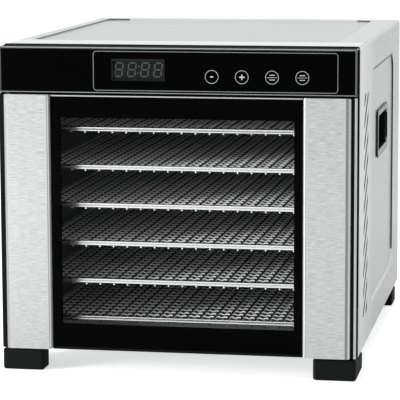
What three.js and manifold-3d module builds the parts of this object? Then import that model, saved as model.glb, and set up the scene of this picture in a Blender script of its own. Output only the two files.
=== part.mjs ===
// Six-tray food dehydrator with a hinged glass door, in millimetres.
// +Z is up, the door faces -Y, and the origin is under the middle of the whole body.
import * as THREE from "three";
import { mergeVertices } from "three/addons/utils/BufferGeometryUtils.js";
import Module from "manifold-3d";

const wasm = await Module();
wasm.setup();

// ---- Driving dimensions ----------------------------------------------------------------------

// Housing
const body_width = 345;
const body_height = 299;
const shell_depth = 415;
const foot_height = 17;
const sheet = 1.2;
const shell_bend = 3;
const hem_depth = 8;
const shell_flange = 20;
const rear_rim = 10;
const pan_wall = 14;
const fit = 0.3;

// Pressed recesses of the shell
const recess_depth = 2.1;
const recess_draft = 1.2;
const side_recess = 234;
const side_recess_setback = 111;
const side_recess_corner = 20;
const top_recess_left = 13.5;
const top_recess_right = 29.5;
const top_recess_setback = 55;
const top_recess_rear = 15;
const top_recess_corner = 11;

// Slanted side vents
const vent_setback = 42;
const vent_run = 36.5;
const vent_drop = 29.4;
const vent_pitch = 20.8;
const vent_slot = 3;
const vent_below_top = 49.5;
const vent_above_bottom = 32.5;

// Side grips
const grip_length = 91;
const grip_opening = 36;
const grip_corner = 5;
const grip_depth = 18;
const grip_wall = 1.2;
const grip_lip = 4;
const grip_above_middle = 46.5;
const bezel_band = 6.5;
const bezel_corner = 6;

// Front: control panel and door
const front_depth = 22;
const front_chamfer = 1.7;
const panel_height = 44.8;
const panel_drop = 1.3;
const panel_wall = 2.5;
const panel_face = 3;
const panel_seam = 3;
const panel_neck = 10;
const window_width = 235;
const window_height = 39;
const window_from_right = 17.4;
const window_corner = 3;
const window_thickness = 1.6;
const display_width = 51.5;
const display_height = 18.4;
const display_inset = 17.3;
const board_inset = 4.5;
const board_height = 33;
const board_thickness = 1.6;
const board_setback = 8;
const board_post = 3;

const door_gap = 0.9;
const door_clear = 1.6;
const door_seam = 4;
const plate_rise = 3;
const plate_width = 45.5;
const plate_lip = 5.2;
const plate_edge = 3.5;
const plate_corner = 2;
const plate_skin = 1.2;
const glass_thickness = 4;
const glass_below_top = 1.8;
const glass_above_bottom = 2.7;
const view_side = 5.5;
const view_end = 18.5;
const view_corner = 4;
const bar_width = 12.2;
const bar_round = 3;
const pull_length = 83.5;
const pull_width = 12;
const pull_depth = 9;
const pull_lip = 2.7;

// Hinge, latch and seal
const hinge_inset = 7.5;
const hinge_setback = 9.5;
const pin_radius = 2.5;
const pin_reach = 19;
const bracket_thickness = 2;
const bracket_width = 18;
const washer_radius = 4.6;
const seal_width = 7;
const seal_depth = 6.4;
const seal_margin = 2;
const seal_groove = 2.7;
const magnet_length = 40;
const magnet_width = 7;
const strike_thickness = 1.2;

// Chamber and air path
const chamber_side = 23.5;
const chamber_above_bottom = 20;
const chamber_below_top = 57;
const service_depth = 77;
const frame_depth = 12;
const liner = 1;
const rail_reach = 7;
const rail_height = 5;
const rail_draft = 0.4;
const plenum_depth = 33;
const air_slot_length = 44;
const air_slot_height = 8;
const air_slot_pitch = 66;
const air_slot_columns = 4;

// Trays
const tray_count = 6;
const tray_above_floor = 9.7;
const tray_headroom = 25.8;
const tray_setback = 8.7;
const tray_side_gap = 2.7;
const tray_rear_gap = 6.7;
const tray_corner = 8;
const wire_radius = 1.3;
const wire_step = 2.5;
const rod_radius = 1;
const rod_pitch = 13.6;
const weave_thickness = 1.2;

// Fan, motor and heater
const fan_radius = 74;
const fan_blades = 6;
const hub_radius = 14;
const hub_length = 18;
const blade_chord = 30;
const blade_thickness = 1.6;
const blade_root_pitch = 42;
const blade_tip_pitch = 24;
const shaft_radius = 3;
const motor_radius = 30;
const motor_length = 26;
const motor_boss = 10;
const mount_rise = 5;
const mount_height = 36;
const mount_foot = 14;
const heater_radius = 88;
const heater_rod = 3.25;
const heater_behind_fan = 4.5;
const heater_legs = 24;
const clip_width = 16;
const clip_thickness = 2;
const cutout_radius = 8;
const cutout_height = 8;
const probe_radius = 2.2;
const probe_length = 18;
const probe_flange = 6;

// Rear
const rear_slot_length = 44;
const rear_slot_height = 4;
const rear_slot_pitch = 13;
const rear_slot_rows = 7;
const gland_reach = 10;
const gland_bore = 3.5;
const gland_neck = 6.5;
const gland_flange = 9.5;
const gland_from_side = 60.5;
const gland_above_bottom = 42;

// Feet
const foot_width = 41;
const foot_side_length = 61;
const foot_side_width = 24;
const foot_front_depth = 23;
const foot_front_rise = 3.1;
const rear_foot_length = 38;
const rear_foot_setback = 22;
const foot_corner = 3;
const foot_chamfer = 1.2;

// ---- Places that follow from them --------------------------------------------------------------

const half_width = body_width / 2;
const plate_y = -(plate_rise + front_depth + shell_depth + gland_reach) / 2;
const front_y = plate_y + plate_rise;
const mouth_y = front_y + front_depth;
const rear_y = mouth_y + shell_depth;
const bottom_z = foot_height;
const top_z = foot_height + body_height;
const middle_z = (bottom_z + top_z) / 2;

const mouth_inset = 2 * sheet + fit;
const lining_inset = sheet + fit;
const rear_face = rear_y - sheet;
const rear_inner = rear_face - sheet;
const rim_front = rear_inner - rear_rim;
const frame_back = mouth_y + frame_depth;

const panel_top = top_z - panel_drop;
const panel_bottom = panel_top - panel_height;
const panel_middle = panel_bottom + panel_height / 2;
const board_y = front_y + board_setback;
const window_left = half_width - window_from_right - window_width;
const board_left = window_left + board_inset;
const board_right = window_left + window_width - board_inset;
const display_x = window_left + display_inset + display_width / 2;

const foot_front_top = bottom_z + foot_front_rise;
const door_low = foot_front_top + door_clear;
const door_high = panel_bottom - door_gap;
const door_middle = (door_low + door_high) / 2;
const door_back = mouth_y - door_seam;
const glass_low = door_low + glass_above_bottom;
const glass_high = door_high - glass_below_top;
const glass_back = front_y + glass_thickness;
const core_front = glass_back + fit;
const plate_outer = half_width - plate_lip;
const plate_inner = plate_outer - plate_width;
const glass_half = plate_inner - fit;
const bar_inner = half_width - bar_width;
const hinge_x = -half_width + hinge_inset;
const hinge_y = front_y + hinge_setback;

const chamber_half = half_width - chamber_side;
const chamber_low = bottom_z + chamber_above_bottom;
const chamber_high = top_z - chamber_below_top;
const baffle_y = rear_y - service_depth;
const bulkhead_y = baffle_y + liner + plenum_depth;
const fan_z = (chamber_low + chamber_high) / 2;
const fan_y = baffle_y + liner + plenum_depth / 2;
const heater_y = fan_y + heater_behind_fan;
const motor_front = bulkhead_y + liner + fit + mount_rise + sheet;

const recess_middle_y = mouth_y + side_recess_setback + side_recess / 2;
const grip_z = middle_z + grip_above_middle;

const tray_half = chamber_half - tray_side_gap;
const tray_front = mouth_y + tray_setback;
const tray_rear = baffle_y - tray_rear_gap;
const tray_middle = (tray_front + tray_rear) / 2;
const tray_lowest = chamber_low + tray_above_floor;
const tray_pitch = (chamber_high - tray_headroom - tray_lowest) / (tray_count - 1);
const tray_z = (i) => tray_lowest + i * tray_pitch;

// ---- Tools -------------------------------------------------------------------------------------

// A closed geometry as a solid that can be joined and cut.
function solid(geometry) {
  const bare = geometry.clone();
  bare.deleteAttribute("normal");
  bare.deleteAttribute("uv");
  const merged = mergeVertices(bare, 1e-4);
  return new wasm.Manifold(
    new wasm.Mesh({
      numProp: 3,
      vertProperties: new Float32Array(merged.attributes.position.array),
      triVerts: new Uint32Array(merged.index.array),
    }),
  );
}

const join = (first, ...others) => others.reduce((sum, other) => sum.add(other), first);
const cut = (first, ...others) => others.reduce((rest, other) => rest.subtract(other), first);

// Outlines lie in the plane across an axis: (y, z) for x, (x, z) for y and (x, y) for z.
function across(axis, start, end) {
  const [x, y, z] = [new THREE.Vector3(1, 0, 0), new THREE.Vector3(0, 1, 0), new THREE.Vector3(0, 0, 1)];
  if (axis === "x") return new THREE.Matrix4().makeBasis(y, z, x).setPosition(start, 0, 0);
  if (axis === "y") return new THREE.Matrix4().makeBasis(x, z, y.clone().negate()).setPosition(0, end, 0);
  return new THREE.Matrix4().setPosition(0, 0, start);
}

// An outline drawn out along an axis, its end edges broken by a chamfer if one is given.
function along(axis, outline, start, end, chamfer = 0, steps = 2) {
  const geometry = new THREE.ExtrudeGeometry(outline, {
    depth: end - start - 2 * chamfer,
    curveSegments: steps,
    bevelEnabled: chamfer > 0,
    bevelThickness: chamfer,
    bevelSize: chamfer,
    bevelOffset: -chamfer,
    bevelSegments: 1,
  });
  geometry.translate(0, 0, chamfer);
  return solid(geometry.applyMatrix4(across(axis, start, end)));
}

// A rounded rectangle between two corners, square where its radius is next to nothing.
function rounded(x0, x1, y0, y1, r, kind = THREE.Shape) {
  if (r < 0.4) return rectangle(x0, x1, y0, y1, kind);
  const path = new kind();
  path.absarc(x1 - r, y0 + r, r, -Math.PI / 2, 0);
  path.absarc(x1 - r, y1 - r, r, 0, Math.PI / 2);
  path.absarc(x0 + r, y1 - r, r, Math.PI / 2, Math.PI);
  path.absarc(x0 + r, y0 + r, r, Math.PI, 1.5 * Math.PI);
  path.closePath();
  return path;
}

// A plain rectangle between two corners.
function rectangle(x0, x1, y0, y1, kind = THREE.Shape) {
  const path = new kind();
  path.moveTo(x0, y0).lineTo(x1, y0).lineTo(x1, y1).lineTo(x0, y1);
  return path.closePath();
}

// A rounded rectangle with a rounded opening.
function ring(outer, inner) {
  const shape = rounded(...outer);
  shape.holes.push(rounded(...inner, THREE.Path));
  return shape;
}

const disc = (x, y, radius) => new THREE.Shape().absarc(x, y, radius, 0, 2 * Math.PI);

// A slot with round ends between two points.
function slot(x0, y0, x1, y1, width) {
  const turn = Math.atan2(y1 - y0, x1 - x0);
  const path = new THREE.Shape();
  path.absarc(x1, y1, width / 2, turn - Math.PI / 2, turn + Math.PI / 2);
  path.absarc(x0, y0, width / 2, turn + Math.PI / 2, turn + 1.5 * Math.PI);
  return path.closePath();
}

// A rounded block that narrows by a draft from one plane to another. It starts a little beyond the
// first plane, so that it cuts through that surface or roots in it.
function pressed(axis, [x0, x1, y0, y1], radius, from, to, draft, beyond = 0.5, steps = 2) {
  const depth = Math.abs(to - from);
  const grow = (draft * beyond) / depth;
  const start = from + Math.sign(from - to) * beyond;
  const [low, high] = [Math.min(start, to), Math.max(start, to)];
  const geometry = new THREE.ExtrudeGeometry(
    rounded(x0 - grow, x1 + grow, y0 - grow, y1 + grow, radius + grow),
    { depth: high - low, curveSegments: steps, bevelEnabled: false },
  );
  const narrow_layer = (axis === "y") === (to > from) ? 0 : high - low;
  const at = geometry.attributes.position;
  const shrink_x = 1 - (draft + grow) / ((x1 - x0) / 2 + grow);
  const shrink_y = 1 - (draft + grow) / ((y1 - y0) / 2 + grow);
  const [cx, cy] = [(x0 + x1) / 2, (y0 + y1) / 2];
  for (let i = 0; i < at.count; i++) {
    if (Math.abs(at.getZ(i) - narrow_layer) > 1e-3) continue;
    at.setX(i, cx + (at.getX(i) - cx) * shrink_x);
    at.setY(i, cy + (at.getY(i) - cy) * shrink_y);
  }
  return solid(geometry.applyMatrix4(across(axis, low, high)));
}

// A closed profile of (radius, y) points turned about the Y axis.
function turned(points, sides) {
  const profile = [...points, points[0]].map(([r, y]) => new THREE.Vector2(r, y));
  return solid(new THREE.LatheGeometry(profile, sides));
}

// Finishes
const finish = (color, roughness, metalness) =>
  new THREE.MeshStandardMaterial({ color, roughness, metalness });
const brushed = () => finish(0xd2d4d3, 0.38, 1);
const galvanised = () => finish(0xb9bcbe, 0.5, 1);
const chromed = () => finish(0xe4e6e6, 0.2, 1);
const gloss_black = () => finish(0x0a0a0b, 0.15, 0);
const satin_black = () => finish(0x1d1f1e, 0.5, 0);
const rubber = () => finish(0x2a2c2b, 0.8, 0);
const glass = () => finish(0x181a1a, 0.05, 0);

const root = new THREE.Group();
const housing = new THREE.Group();
const door = new THREE.Group();
root.add(housing, door);

// A solid as a named mesh of its own in a group.
function piece(name, body, material, parent = housing) {
  const m = body.getMesh();
  const geometry = new THREE.BufferGeometry();
  geometry.setAttribute("position", new THREE.BufferAttribute(new Float32Array(m.vertProperties), 3));
  geometry.setIndex(new THREE.BufferAttribute(new Uint32Array(m.triVerts), 1));
  const mesh = new THREE.Mesh(geometry.toNonIndexed(), material);
  mesh.geometry.computeVertexNormals();
  mesh.name = name;
  parent.add(mesh);
  return mesh;
}

// The same piece on the other side of the body.
function mirrored(name, mesh, parent = housing) {
  const copy = new THREE.Mesh(mesh.geometry, mesh.material.clone());
  copy.name = name;
  copy.scale.x = -1;
  parent.add(copy);
  return copy;
}

// ---- Outer shell -------------------------------------------------------------------------------

// One sheet bent over the top and both sides, with a hem round its mouth and flanges underneath.
// The hollow is cut round the backs of the pressed recesses, so the sheet keeps its thickness there.
const side_box = (grow) => [
  recess_middle_y - side_recess / 2 - grow,
  recess_middle_y + side_recess / 2 + grow,
  middle_z - side_recess / 2 - grow,
  middle_z + side_recess / 2 + grow,
];
const top_box = (grow) => [
  -half_width + top_recess_left - grow,
  half_width - top_recess_right + grow,
  mouth_y + top_recess_setback - grow,
  rear_y - top_recess_rear + grow,
];
const inside_shell = (inset) => [
  -half_width + inset,
  half_width - inset,
  bottom_z + inset,
  top_z - inset,
  shell_bend - inset,
];

let hollow = join(
  along("y", rounded(...inside_shell(sheet)), mouth_y + hem_depth, rear_y + 1),
  along("y", rounded(...inside_shell(2 * sheet)), mouth_y - 1, mouth_y + hem_depth + 1),
);
let skin = along("y", rounded(...inside_shell(0)), mouth_y, rear_y);
for (const side of [-1, 1]) {
  const face = side * half_width;
  const floor = face - side * recess_depth;
  skin = cut(skin, pressed("x", side_box(0), side_recess_corner, face, floor, recess_draft));
  const back = pressed(
    "x",
    side_box(sheet),
    side_recess_corner + sheet,
    face - side * sheet,
    floor - side * sheet,
    recess_draft,
    2 * sheet,
  );
  hollow = cut(hollow, back);
}
skin = cut(skin, pressed("z", top_box(0), top_recess_corner, top_z, top_z - recess_depth, recess_draft));
hollow = cut(
  hollow,
  pressed(
    "z",
    top_box(sheet),
    top_recess_corner + sheet,
    top_z - sheet,
    top_z - recess_depth - sheet,
    recess_draft,
    2 * sheet,
  ),
);
const flange_gap = along(
  "y",
  rectangle(-half_width + shell_flange, half_width - shell_flange, bottom_z - 1, bottom_z + 3 * sheet),
  mouth_y - 1,
  rear_y + 1,
);
let shell = cut(skin, hollow, flange_gap);

// Grip openings and slanted vents go through both sides alike.
const grip_box = (grow) => [
  recess_middle_y - grip_length / 2 - grow,
  recess_middle_y + grip_length / 2 + grow,
  grip_z - grip_opening / 2 - grow,
  grip_z + grip_opening / 2 + grow,
  grip_corner + grow,
];
const through = (outline, steps) => along("x", outline, -half_width - 1, half_width + 1, 0, steps);
shell = cut(shell, through(rounded(...grip_box(grip_wall + fit)), 1));

const vent_low = bottom_z + vent_above_bottom;
const vent_high = top_z - vent_below_top;
const vent_rear = mouth_y + vent_setback + vent_run;
for (let high = vent_high + vent_pitch - vent_slot / 3; high > vent_low; high -= vent_pitch) {
  const from = Math.max(0, (high - vent_high) / vent_drop);
  const to = Math.min(1, (high - vent_low) / vent_drop);
  const line = (t) => [vent_rear - vent_run * t, high - vent_drop * t];
  if (to - from > 0.2) shell = cut(shell, through(slot(...line(from), ...line(to), vent_slot), 1));
}
piece("outer_shell", shell, brushed());

// ---- Base pan and rear panel -------------------------------------------------------------------

const lining = inside_shell(lining_inset);
const pan = along("y", rounded(...lining), frame_back + fit, rim_front - fit);
const pan_inside = along(
  "y",
  rounded(...inside_shell(lining_inset + sheet)),
  frame_back - 1,
  rim_front + 1,
);
const above_pan = along(
  "y",
  rectangle(-half_width, half_width, bottom_z + lining_inset + pan_wall, top_z + 1),
  frame_back - 1,
  rim_front + 1,
);
piece("base_pan", cut(pan, pan_inside, above_pan), galvanised());

const gland_x = -half_width + gland_from_side;
const gland_z = bottom_z + gland_above_bottom;
let rear_panel = cut(
  along("y", rounded(...lining), rim_front, rear_face),
  along("y", rounded(...inside_shell(lining_inset + sheet)), rim_front - 1, rear_inner),
  along("y", disc(gland_x, gland_z, gland_neck + fit), rim_front, rear_y, 0, 6),
);
for (let row = 0; row < rear_slot_rows; row++) {
  const z = fan_z + (row - (rear_slot_rows - 1) / 2) * rear_slot_pitch;
  for (const side of [-1, 1]) {
    const near = side * rear_slot_height;
    const far = side * (rear_slot_height + rear_slot_length);
    rear_panel = cut(rear_panel, along("y", slot(near, z, far, z, rear_slot_height), rim_front, rear_y, 0, 1));
  }
}
piece("rear_panel", rear_panel, galvanised());

// Gland with its nut inside the panel and a domed collar outside.
const gland = turned(
  [
    [gland_bore, rear_inner - fit - gland_neck],
    [gland_flange, rear_inner - fit - gland_neck],
    [gland_flange, rear_inner - fit],
    [gland_neck, rear_inner - fit],
    [gland_neck, rear_face + fit],
    [gland_flange, rear_face + fit],
    [gland_flange, rear_face + gland_reach / 3],
    [gland_neck, rear_y + gland_reach],
    [gland_bore, rear_y + gland_reach],
  ],
  12,
);
piece("cable_gland", gland.translate(gland_x, 0, gland_z), satin_black());

// ---- Front frame -------------------------------------------------------------------------------

const frame_low = bottom_z + mouth_inset;
const frame_high = panel_bottom - fit;
const frame_outline = ring(
  [-half_width + mouth_inset, half_width - mouth_inset, frame_low, frame_high, 1],
  [-chamber_half, chamber_half, chamber_low, chamber_high, 4],
);
piece("front_frame", along("y", frame_outline, mouth_y, frame_back, 0.6, 1), satin_black());

// ---- Chamber liner -----------------------------------------------------------------------------

const liner_front = frame_back + fit;
const liner_rear = bulkhead_y - fit;

// Each wall has one pressed rail under each tray, hollow from behind.
const rail_z = (i) => tray_z(i) - wire_step / 2 - wire_radius - fit;
let wall = along(
  "y",
  rectangle(chamber_half, chamber_half + liner, chamber_low + fit, chamber_high - fit),
  liner_front,
  liner_rear,
);
for (let i = 0; i < tray_count; i++) {
  const rail = (shrink) => [
    liner_front + tray_corner / 2 + shrink,
    tray_rear - shrink,
    rail_z(i) - rail_height + shrink,
    rail_z(i) - shrink,
  ];
  const reach = chamber_half - rail_reach;
  wall = join(wall, pressed("x", rail(0), 0, chamber_half, reach, rail_draft, liner / 2));
  wall = cut(wall, pressed("x", rail(liner), 0, chamber_half + liner, reach + liner, rail_draft / 3));
}
const wall_right = piece("chamber_wall_right", wall, satin_black());
mirrored("chamber_wall_left", wall_right);

for (const [name, low] of [
  ["chamber_floor", chamber_low - liner],
  ["chamber_ceiling", chamber_high],
]) {
  const span = chamber_half + liner;
  piece(name, along("z", rectangle(-span, span, liner_front, liner_rear), low, low + liner), satin_black());
}

// Rear wall of the chamber: one row of air slots over each tray.
let baffle = along(
  "y",
  rectangle(-chamber_half + fit, chamber_half - fit, chamber_low + fit, chamber_high - fit),
  baffle_y,
  baffle_y + liner,
);
for (let i = 0; i < tray_count; i++) {
  const z = Math.min(tray_z(i) + tray_pitch / 2, chamber_high - air_slot_height);
  for (let column = 0; column < air_slot_columns; column++) {
    const x = (column - (air_slot_columns - 1) / 2) * air_slot_pitch;
    const half = (air_slot_length - air_slot_height) / 2;
    const opening = slot(x - half, z, x + half, z, air_slot_height);
    baffle = cut(baffle, along("y", opening, baffle_y - 1, baffle_y + liner + 1, 0, 1));
  }
}
piece("air_baffle", baffle, satin_black());

// Temperature probe on the baffle, above the top tray.
const probe = turned(
  [
    [0, baffle_y - fit - probe_length],
    [probe_radius, baffle_y - fit - probe_length],
    [probe_radius, baffle_y - fit - sheet],
    [probe_flange, baffle_y - fit - sheet],
    [probe_flange, baffle_y - fit],
    [0, baffle_y - fit],
  ],
  10,
);
piece("temperature_sensor", probe.translate(0, 0, chamber_high - probe_flange - 3 * fit), chromed());

// ---- Bulkhead, motor and heater ----------------------------------------------------------------

const heater_low = fan_z - Math.sqrt(heater_radius ** 2 - (heater_legs / 2) ** 2);
const bulkhead_span = chamber_half + liner;
const bulkhead = cut(
  along(
    "y",
    rectangle(-bulkhead_span, bulkhead_span, chamber_low - liner, chamber_high + liner),
    bulkhead_y,
    bulkhead_y + liner,
  ),
  ...[
    [0, fan_z, motor_boss],
    [-heater_legs / 2, heater_low, heater_rod + 4 * fit],
    [heater_legs / 2, heater_low, heater_rod + 4 * fit],
  ].map(([x, z, r]) => along("y", disc(x, z, r), bulkhead_y - 1, bulkhead_y + liner + 1, 0, 5)),
);
piece("bulkhead", bulkhead, galvanised());

// Hat-shaped bracket that carries the motor off the bulkhead.
const mount_base = bulkhead_y + liner + fit;
const mount_top = mount_base + mount_rise + sheet;
const mount_shoulder = motor_radius + mount_foot / 2;
const mount_profile = new THREE.Shape();
mount_profile.moveTo(-mount_shoulder - mount_foot, mount_base);
mount_profile.lineTo(-mount_shoulder, mount_base);
mount_profile.lineTo(-mount_shoulder + mount_rise, mount_top - sheet);
mount_profile.lineTo(mount_shoulder - mount_rise, mount_top - sheet);
mount_profile.lineTo(mount_shoulder, mount_base);
mount_profile.lineTo(mount_shoulder + mount_foot, mount_base);
mount_profile.lineTo(mount_shoulder + mount_foot, mount_base + sheet);
mount_profile.lineTo(mount_shoulder + sheet / 2, mount_base + sheet);
mount_profile.lineTo(mount_shoulder - mount_rise + sheet / 2, mount_top);
mount_profile.lineTo(-mount_shoulder + mount_rise - sheet / 2, mount_top);
mount_profile.lineTo(-mount_shoulder - sheet / 2, mount_base + sheet);
mount_profile.lineTo(-mount_shoulder - mount_foot, mount_base + sheet);
const mount = cut(
  along("z", mount_profile, fan_z - mount_height / 2, fan_z + mount_height / 2),
  along("y", disc(0, fan_z, motor_boss - 2), mount_base - 1, mount_top + 1, 0, 6),
);
piece("motor_bracket", mount, galvanised());

const motor_face = mount_top + fit;
const motor_step = motor_length / 8;
const motor = turned(
  [
    [shaft_radius + fit, motor_face],
    [motor_boss, motor_face],
    [motor_boss, motor_face + motor_step],
    [motor_radius - motor_step, motor_face + motor_step],
    [motor_radius, motor_face + 2 * motor_step],
    [motor_radius, motor_face + motor_length - 2 * motor_step],
    [motor_radius - 2 * motor_step, motor_face + motor_length],
    [shaft_radius + fit, motor_face + motor_length],
  ],
  16,
);
piece("fan_motor", motor.translate(0, 0, fan_z), galvanised());

// Ring heater round the fan. Both ends turn back and go through the bulkhead.
const leg_turn = Math.asin(heater_legs / 2 / heater_radius);
const leg_end = bulkhead_y + liner + mount_rise;
const heater_points = [];
heater_points.push(new THREE.Vector3(heater_legs / 2, leg_end, heater_low));
heater_points.push(new THREE.Vector3(heater_legs / 2, bulkhead_y, heater_low));
const arc_points = 20;
for (let k = 0; k <= arc_points; k++) {
  const turn = leg_turn * 1.4 + (k / arc_points) * (2 * Math.PI - 2.8 * leg_turn);
  const x = heater_radius * Math.sin(turn);
  const z = fan_z - heater_radius * Math.cos(turn);
  heater_points.push(new THREE.Vector3(x, heater_y, z));
}
heater_points.push(new THREE.Vector3(-heater_legs / 2, bulkhead_y, heater_low));
heater_points.push(new THREE.Vector3(-heater_legs / 2, leg_end, heater_low));
const heater = new THREE.ExtrudeGeometry(disc(0, 0, heater_rod), {
  steps: 38,
  curveSegments: 3,
  bevelEnabled: false,
  extrudePath: new THREE.CatmullRomCurve3(heater_points),
});
piece("heater_element", solid(heater), chromed());

// Clips that hold the heater ring off the bulkhead, one on each side.
const clip_outline = rectangle(
  heater_y - heater_rod - clip_thickness,
  liner_rear,
  heater_radius - clip_width / 2,
  heater_radius + clip_width / 2,
);
const clip = join(
  cut(
    along("x", clip_outline, -clip_thickness / 2, clip_thickness / 2),
    along("x", disc(heater_y, heater_radius, heater_rod + 2 * fit), -clip_thickness, clip_thickness, 0, 5),
  ),
  along(
    "y",
    rectangle(
      -clip_width / 2,
      clip_width / 2,
      heater_radius - clip_width / 2,
      heater_radius + clip_width / 2,
    ),
    liner_rear - sheet,
    liner_rear,
  ),
);
for (const [name, turn] of [
  ["heater_clip_left", -60],
  ["heater_clip_right", 60],
]) {
  const mesh = piece(name, clip, galvanised());
  mesh.position.z = fan_z;
  mesh.rotation.y = THREE.MathUtils.degToRad(turn);
}

const cutout = turned(
  [
    [0, liner_rear - cutout_height],
    [cutout_radius * 0.7, liner_rear - cutout_height],
    [cutout_radius * 0.7, liner_rear - cutout_height / 2],
    [cutout_radius, liner_rear - cutout_height / 2],
    [cutout_radius, liner_rear],
    [0, liner_rear],
  ],
  14,
);
const cutout_place = (heater_radius + 3 * cutout_radius) / Math.SQRT2;
piece("thermal_cutout", cutout.translate(-cutout_place, 0, fan_z + cutout_place), satin_black());

// ---- Fan ---------------------------------------------------------------------------------------

const fan = new THREE.Group();
fan.position.set(0, fan_y, fan_z);
root.add(fan);

// Each blade is an arched section drawn out from the hub and twisted on the way.
const blade_section = new THREE.Shape();
blade_section.moveTo(-blade_chord / 2, 0);
blade_section.quadraticCurveTo(0, -blade_chord / 8, blade_chord / 2, 0);
blade_section.lineTo(blade_chord / 2, blade_thickness);
blade_section.quadraticCurveTo(0, blade_thickness - blade_chord / 8, -blade_chord / 2, blade_thickness);
const blade_length = fan_radius - hub_radius / 2;
const blade = new THREE.ExtrudeGeometry(blade_section, {
  depth: blade_length,
  steps: 3,
  curveSegments: 3,
  bevelEnabled: false,
});
const blade_points = blade.attributes.position;
for (let i = 0; i < blade_points.count; i++) {
  const t = blade_points.getZ(i) / blade_length;
  const pitch = THREE.MathUtils.degToRad(blade_root_pitch + (blade_tip_pitch - blade_root_pitch) * t);
  const widen = 0.6 + 0.5 * t;
  const [x, y] = [blade_points.getX(i) * widen, blade_points.getY(i)];
  blade_points.setX(i, x * Math.cos(pitch) - y * Math.sin(pitch));
  blade_points.setY(i, x * Math.sin(pitch) + y * Math.cos(pitch));
}
blade.translate(0, 0, hub_radius / 2);
let impeller = turned(
  [
    [shaft_radius + fit, -hub_length / 2],
    [hub_radius, -hub_length / 2],
    [hub_radius, hub_length / 2],
    [shaft_radius + fit, hub_length / 2],
  ],
  16,
);
const bore = along("y", disc(0, 0, shaft_radius + fit), -hub_length, hub_length, 0, 8);
for (let k = 0; k < fan_blades; k++) {
  impeller = join(impeller, solid(blade.clone().rotateY((k / fan_blades) * 2 * Math.PI)));
}
piece("fan_impeller", cut(impeller, bore), satin_black(), fan);

const shaft_rear = motor_face + motor_length - fan_y;
const shaft = along("y", disc(0, 0, shaft_radius), -hub_length / 2 - shaft_radius, shaft_rear, 0.6, 6);
piece("fan_shaft", shaft, chromed(), fan);

// ---- Trays -------------------------------------------------------------------------------------

// Two rim wires welded one on the other, and a row of support rods welded under them.
const tray_length = (tray_rear - tray_front) / 2;
const rim = (z) => {
  const inner = [-tray_half + 2 * wire_radius, tray_half - 2 * wire_radius];
  const inner_y = [-tray_length + 2 * wire_radius, tray_length - 2 * wire_radius];
  const outline = ring(
    [-tray_half, tray_half, -tray_length, tray_length, tray_corner],
    [...inner, ...inner_y, tray_corner - 2 * wire_radius],
  );
  return along("z", outline, z - wire_radius, z + wire_radius, wire_radius * 0.58, 1);
};
const rod_z = -wire_step / 2 - wire_radius - rod_radius * 0.9;
let tray_frame = join(rim(wire_step / 2), rim(-wire_step / 2));
const rods_each_side = Math.floor((tray_half - tray_corner) / rod_pitch);
for (let k = -rods_each_side; k <= rods_each_side; k++) {
  const outline = rectangle(
    k * rod_pitch - rod_radius,
    k * rod_pitch + rod_radius,
    rod_z - rod_radius,
    rod_z + rod_radius,
  );
  tray_frame = join(
    tray_frame,
    along("y", outline, -tray_length + wire_radius * 0.62, tray_length - wire_radius * 0.62),
  );
}
const weave_low = rod_z + rod_radius + fit;
const weave_inset = 2 * wire_radius + fit;
const weave = along(
  "z",
  rounded(
    -tray_half + weave_inset,
    tray_half - weave_inset,
    -tray_length + weave_inset,
    tray_length - weave_inset,
    tray_corner - weave_inset,
  ),
  weave_low,
  weave_low + weave_thickness,
  0,
  1,
);
for (let i = 0; i < tray_count; i++) {
  const tray = new THREE.Group();
  tray.position.set(0, tray_middle, tray_z(i));
  piece("tray_frame_" + (i + 1), tray_frame, chromed(), tray);
  piece("tray_mesh_" + (i + 1), weave, galvanised(), tray);
  root.add(tray);
}

// ---- Side grips --------------------------------------------------------------------------------

const recess_floor = half_width - recess_depth;
const sheet_back = recess_floor - sheet - fit;
const cup_back = recess_floor - grip_depth;
const cup = cut(
  join(
    along("x", rounded(...grip_box(grip_wall)), cup_back, recess_floor, 0, 1),
    along("x", rectangle(...grip_box(grip_wall + grip_lip).slice(0, 4)), sheet_back - grip_wall, sheet_back),
  ),
  along("x", rounded(...grip_box(0)), cup_back + grip_wall, half_width + 1, 0, 1),
);
const cup_right = piece("grip_cup_right", cup, satin_black());
mirrored("grip_cup_left", cup_right);

const bezel_outline = rounded(
  ...grip_box(bezel_band).slice(0, 4),
  bezel_corner,
);
bezel_outline.holes.push(rounded(...grip_box(0), THREE.Path));
const bezel = along("x", bezel_outline, recess_floor + fit, half_width, 0.5, 1);
const bezel_right = piece("grip_bezel_right", bezel, chromed());
mirrored("grip_bezel_left", bezel_right);

// ---- Control panel -----------------------------------------------------------------------------

// Moulded fascia, open at the back, whose neck goes into the mouth of the shell.
const panel_rear = mouth_y - panel_seam;
const panel_outline = rounded(-half_width, half_width, panel_bottom, panel_top, front_chamfer + fit);
const neck_box = (inset) => [
  -half_width + mouth_inset + inset,
  half_width - mouth_inset - inset,
  panel_bottom + inset,
  top_z - mouth_inset - inset,
  1,
];
const window_box = (grow) => [
  window_left - grow,
  window_left + window_width + grow,
  panel_middle - window_height / 2 - grow,
  panel_middle + window_height / 2 + grow,
  window_corner + grow,
];
const display_box = (grow) => [
  display_x - display_width / 2 - grow,
  display_x + display_width / 2 + grow,
  panel_middle - display_height / 2 - grow,
  panel_middle + display_height / 2 + grow,
];
const bracket_front = hinge_y - hinge_setback + front_chamfer + 1;
const bracket_side = -half_width + panel_wall + fit;
const upper_bracket_box = (grow) => [
  bracket_side - grow,
  bracket_side + bracket_width + grow,
  bracket_front - grow,
  mouth_y + panel_neck,
];
let panel = join(
  along("y", panel_outline, front_y, panel_rear, front_chamfer, 1),
  along("y", panel_outline, front_y + front_chamfer, panel_rear, 0, 1),
  along("y", rounded(...neck_box(0)), panel_rear - 1, mouth_y + panel_neck, 0, 1),
);
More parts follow.
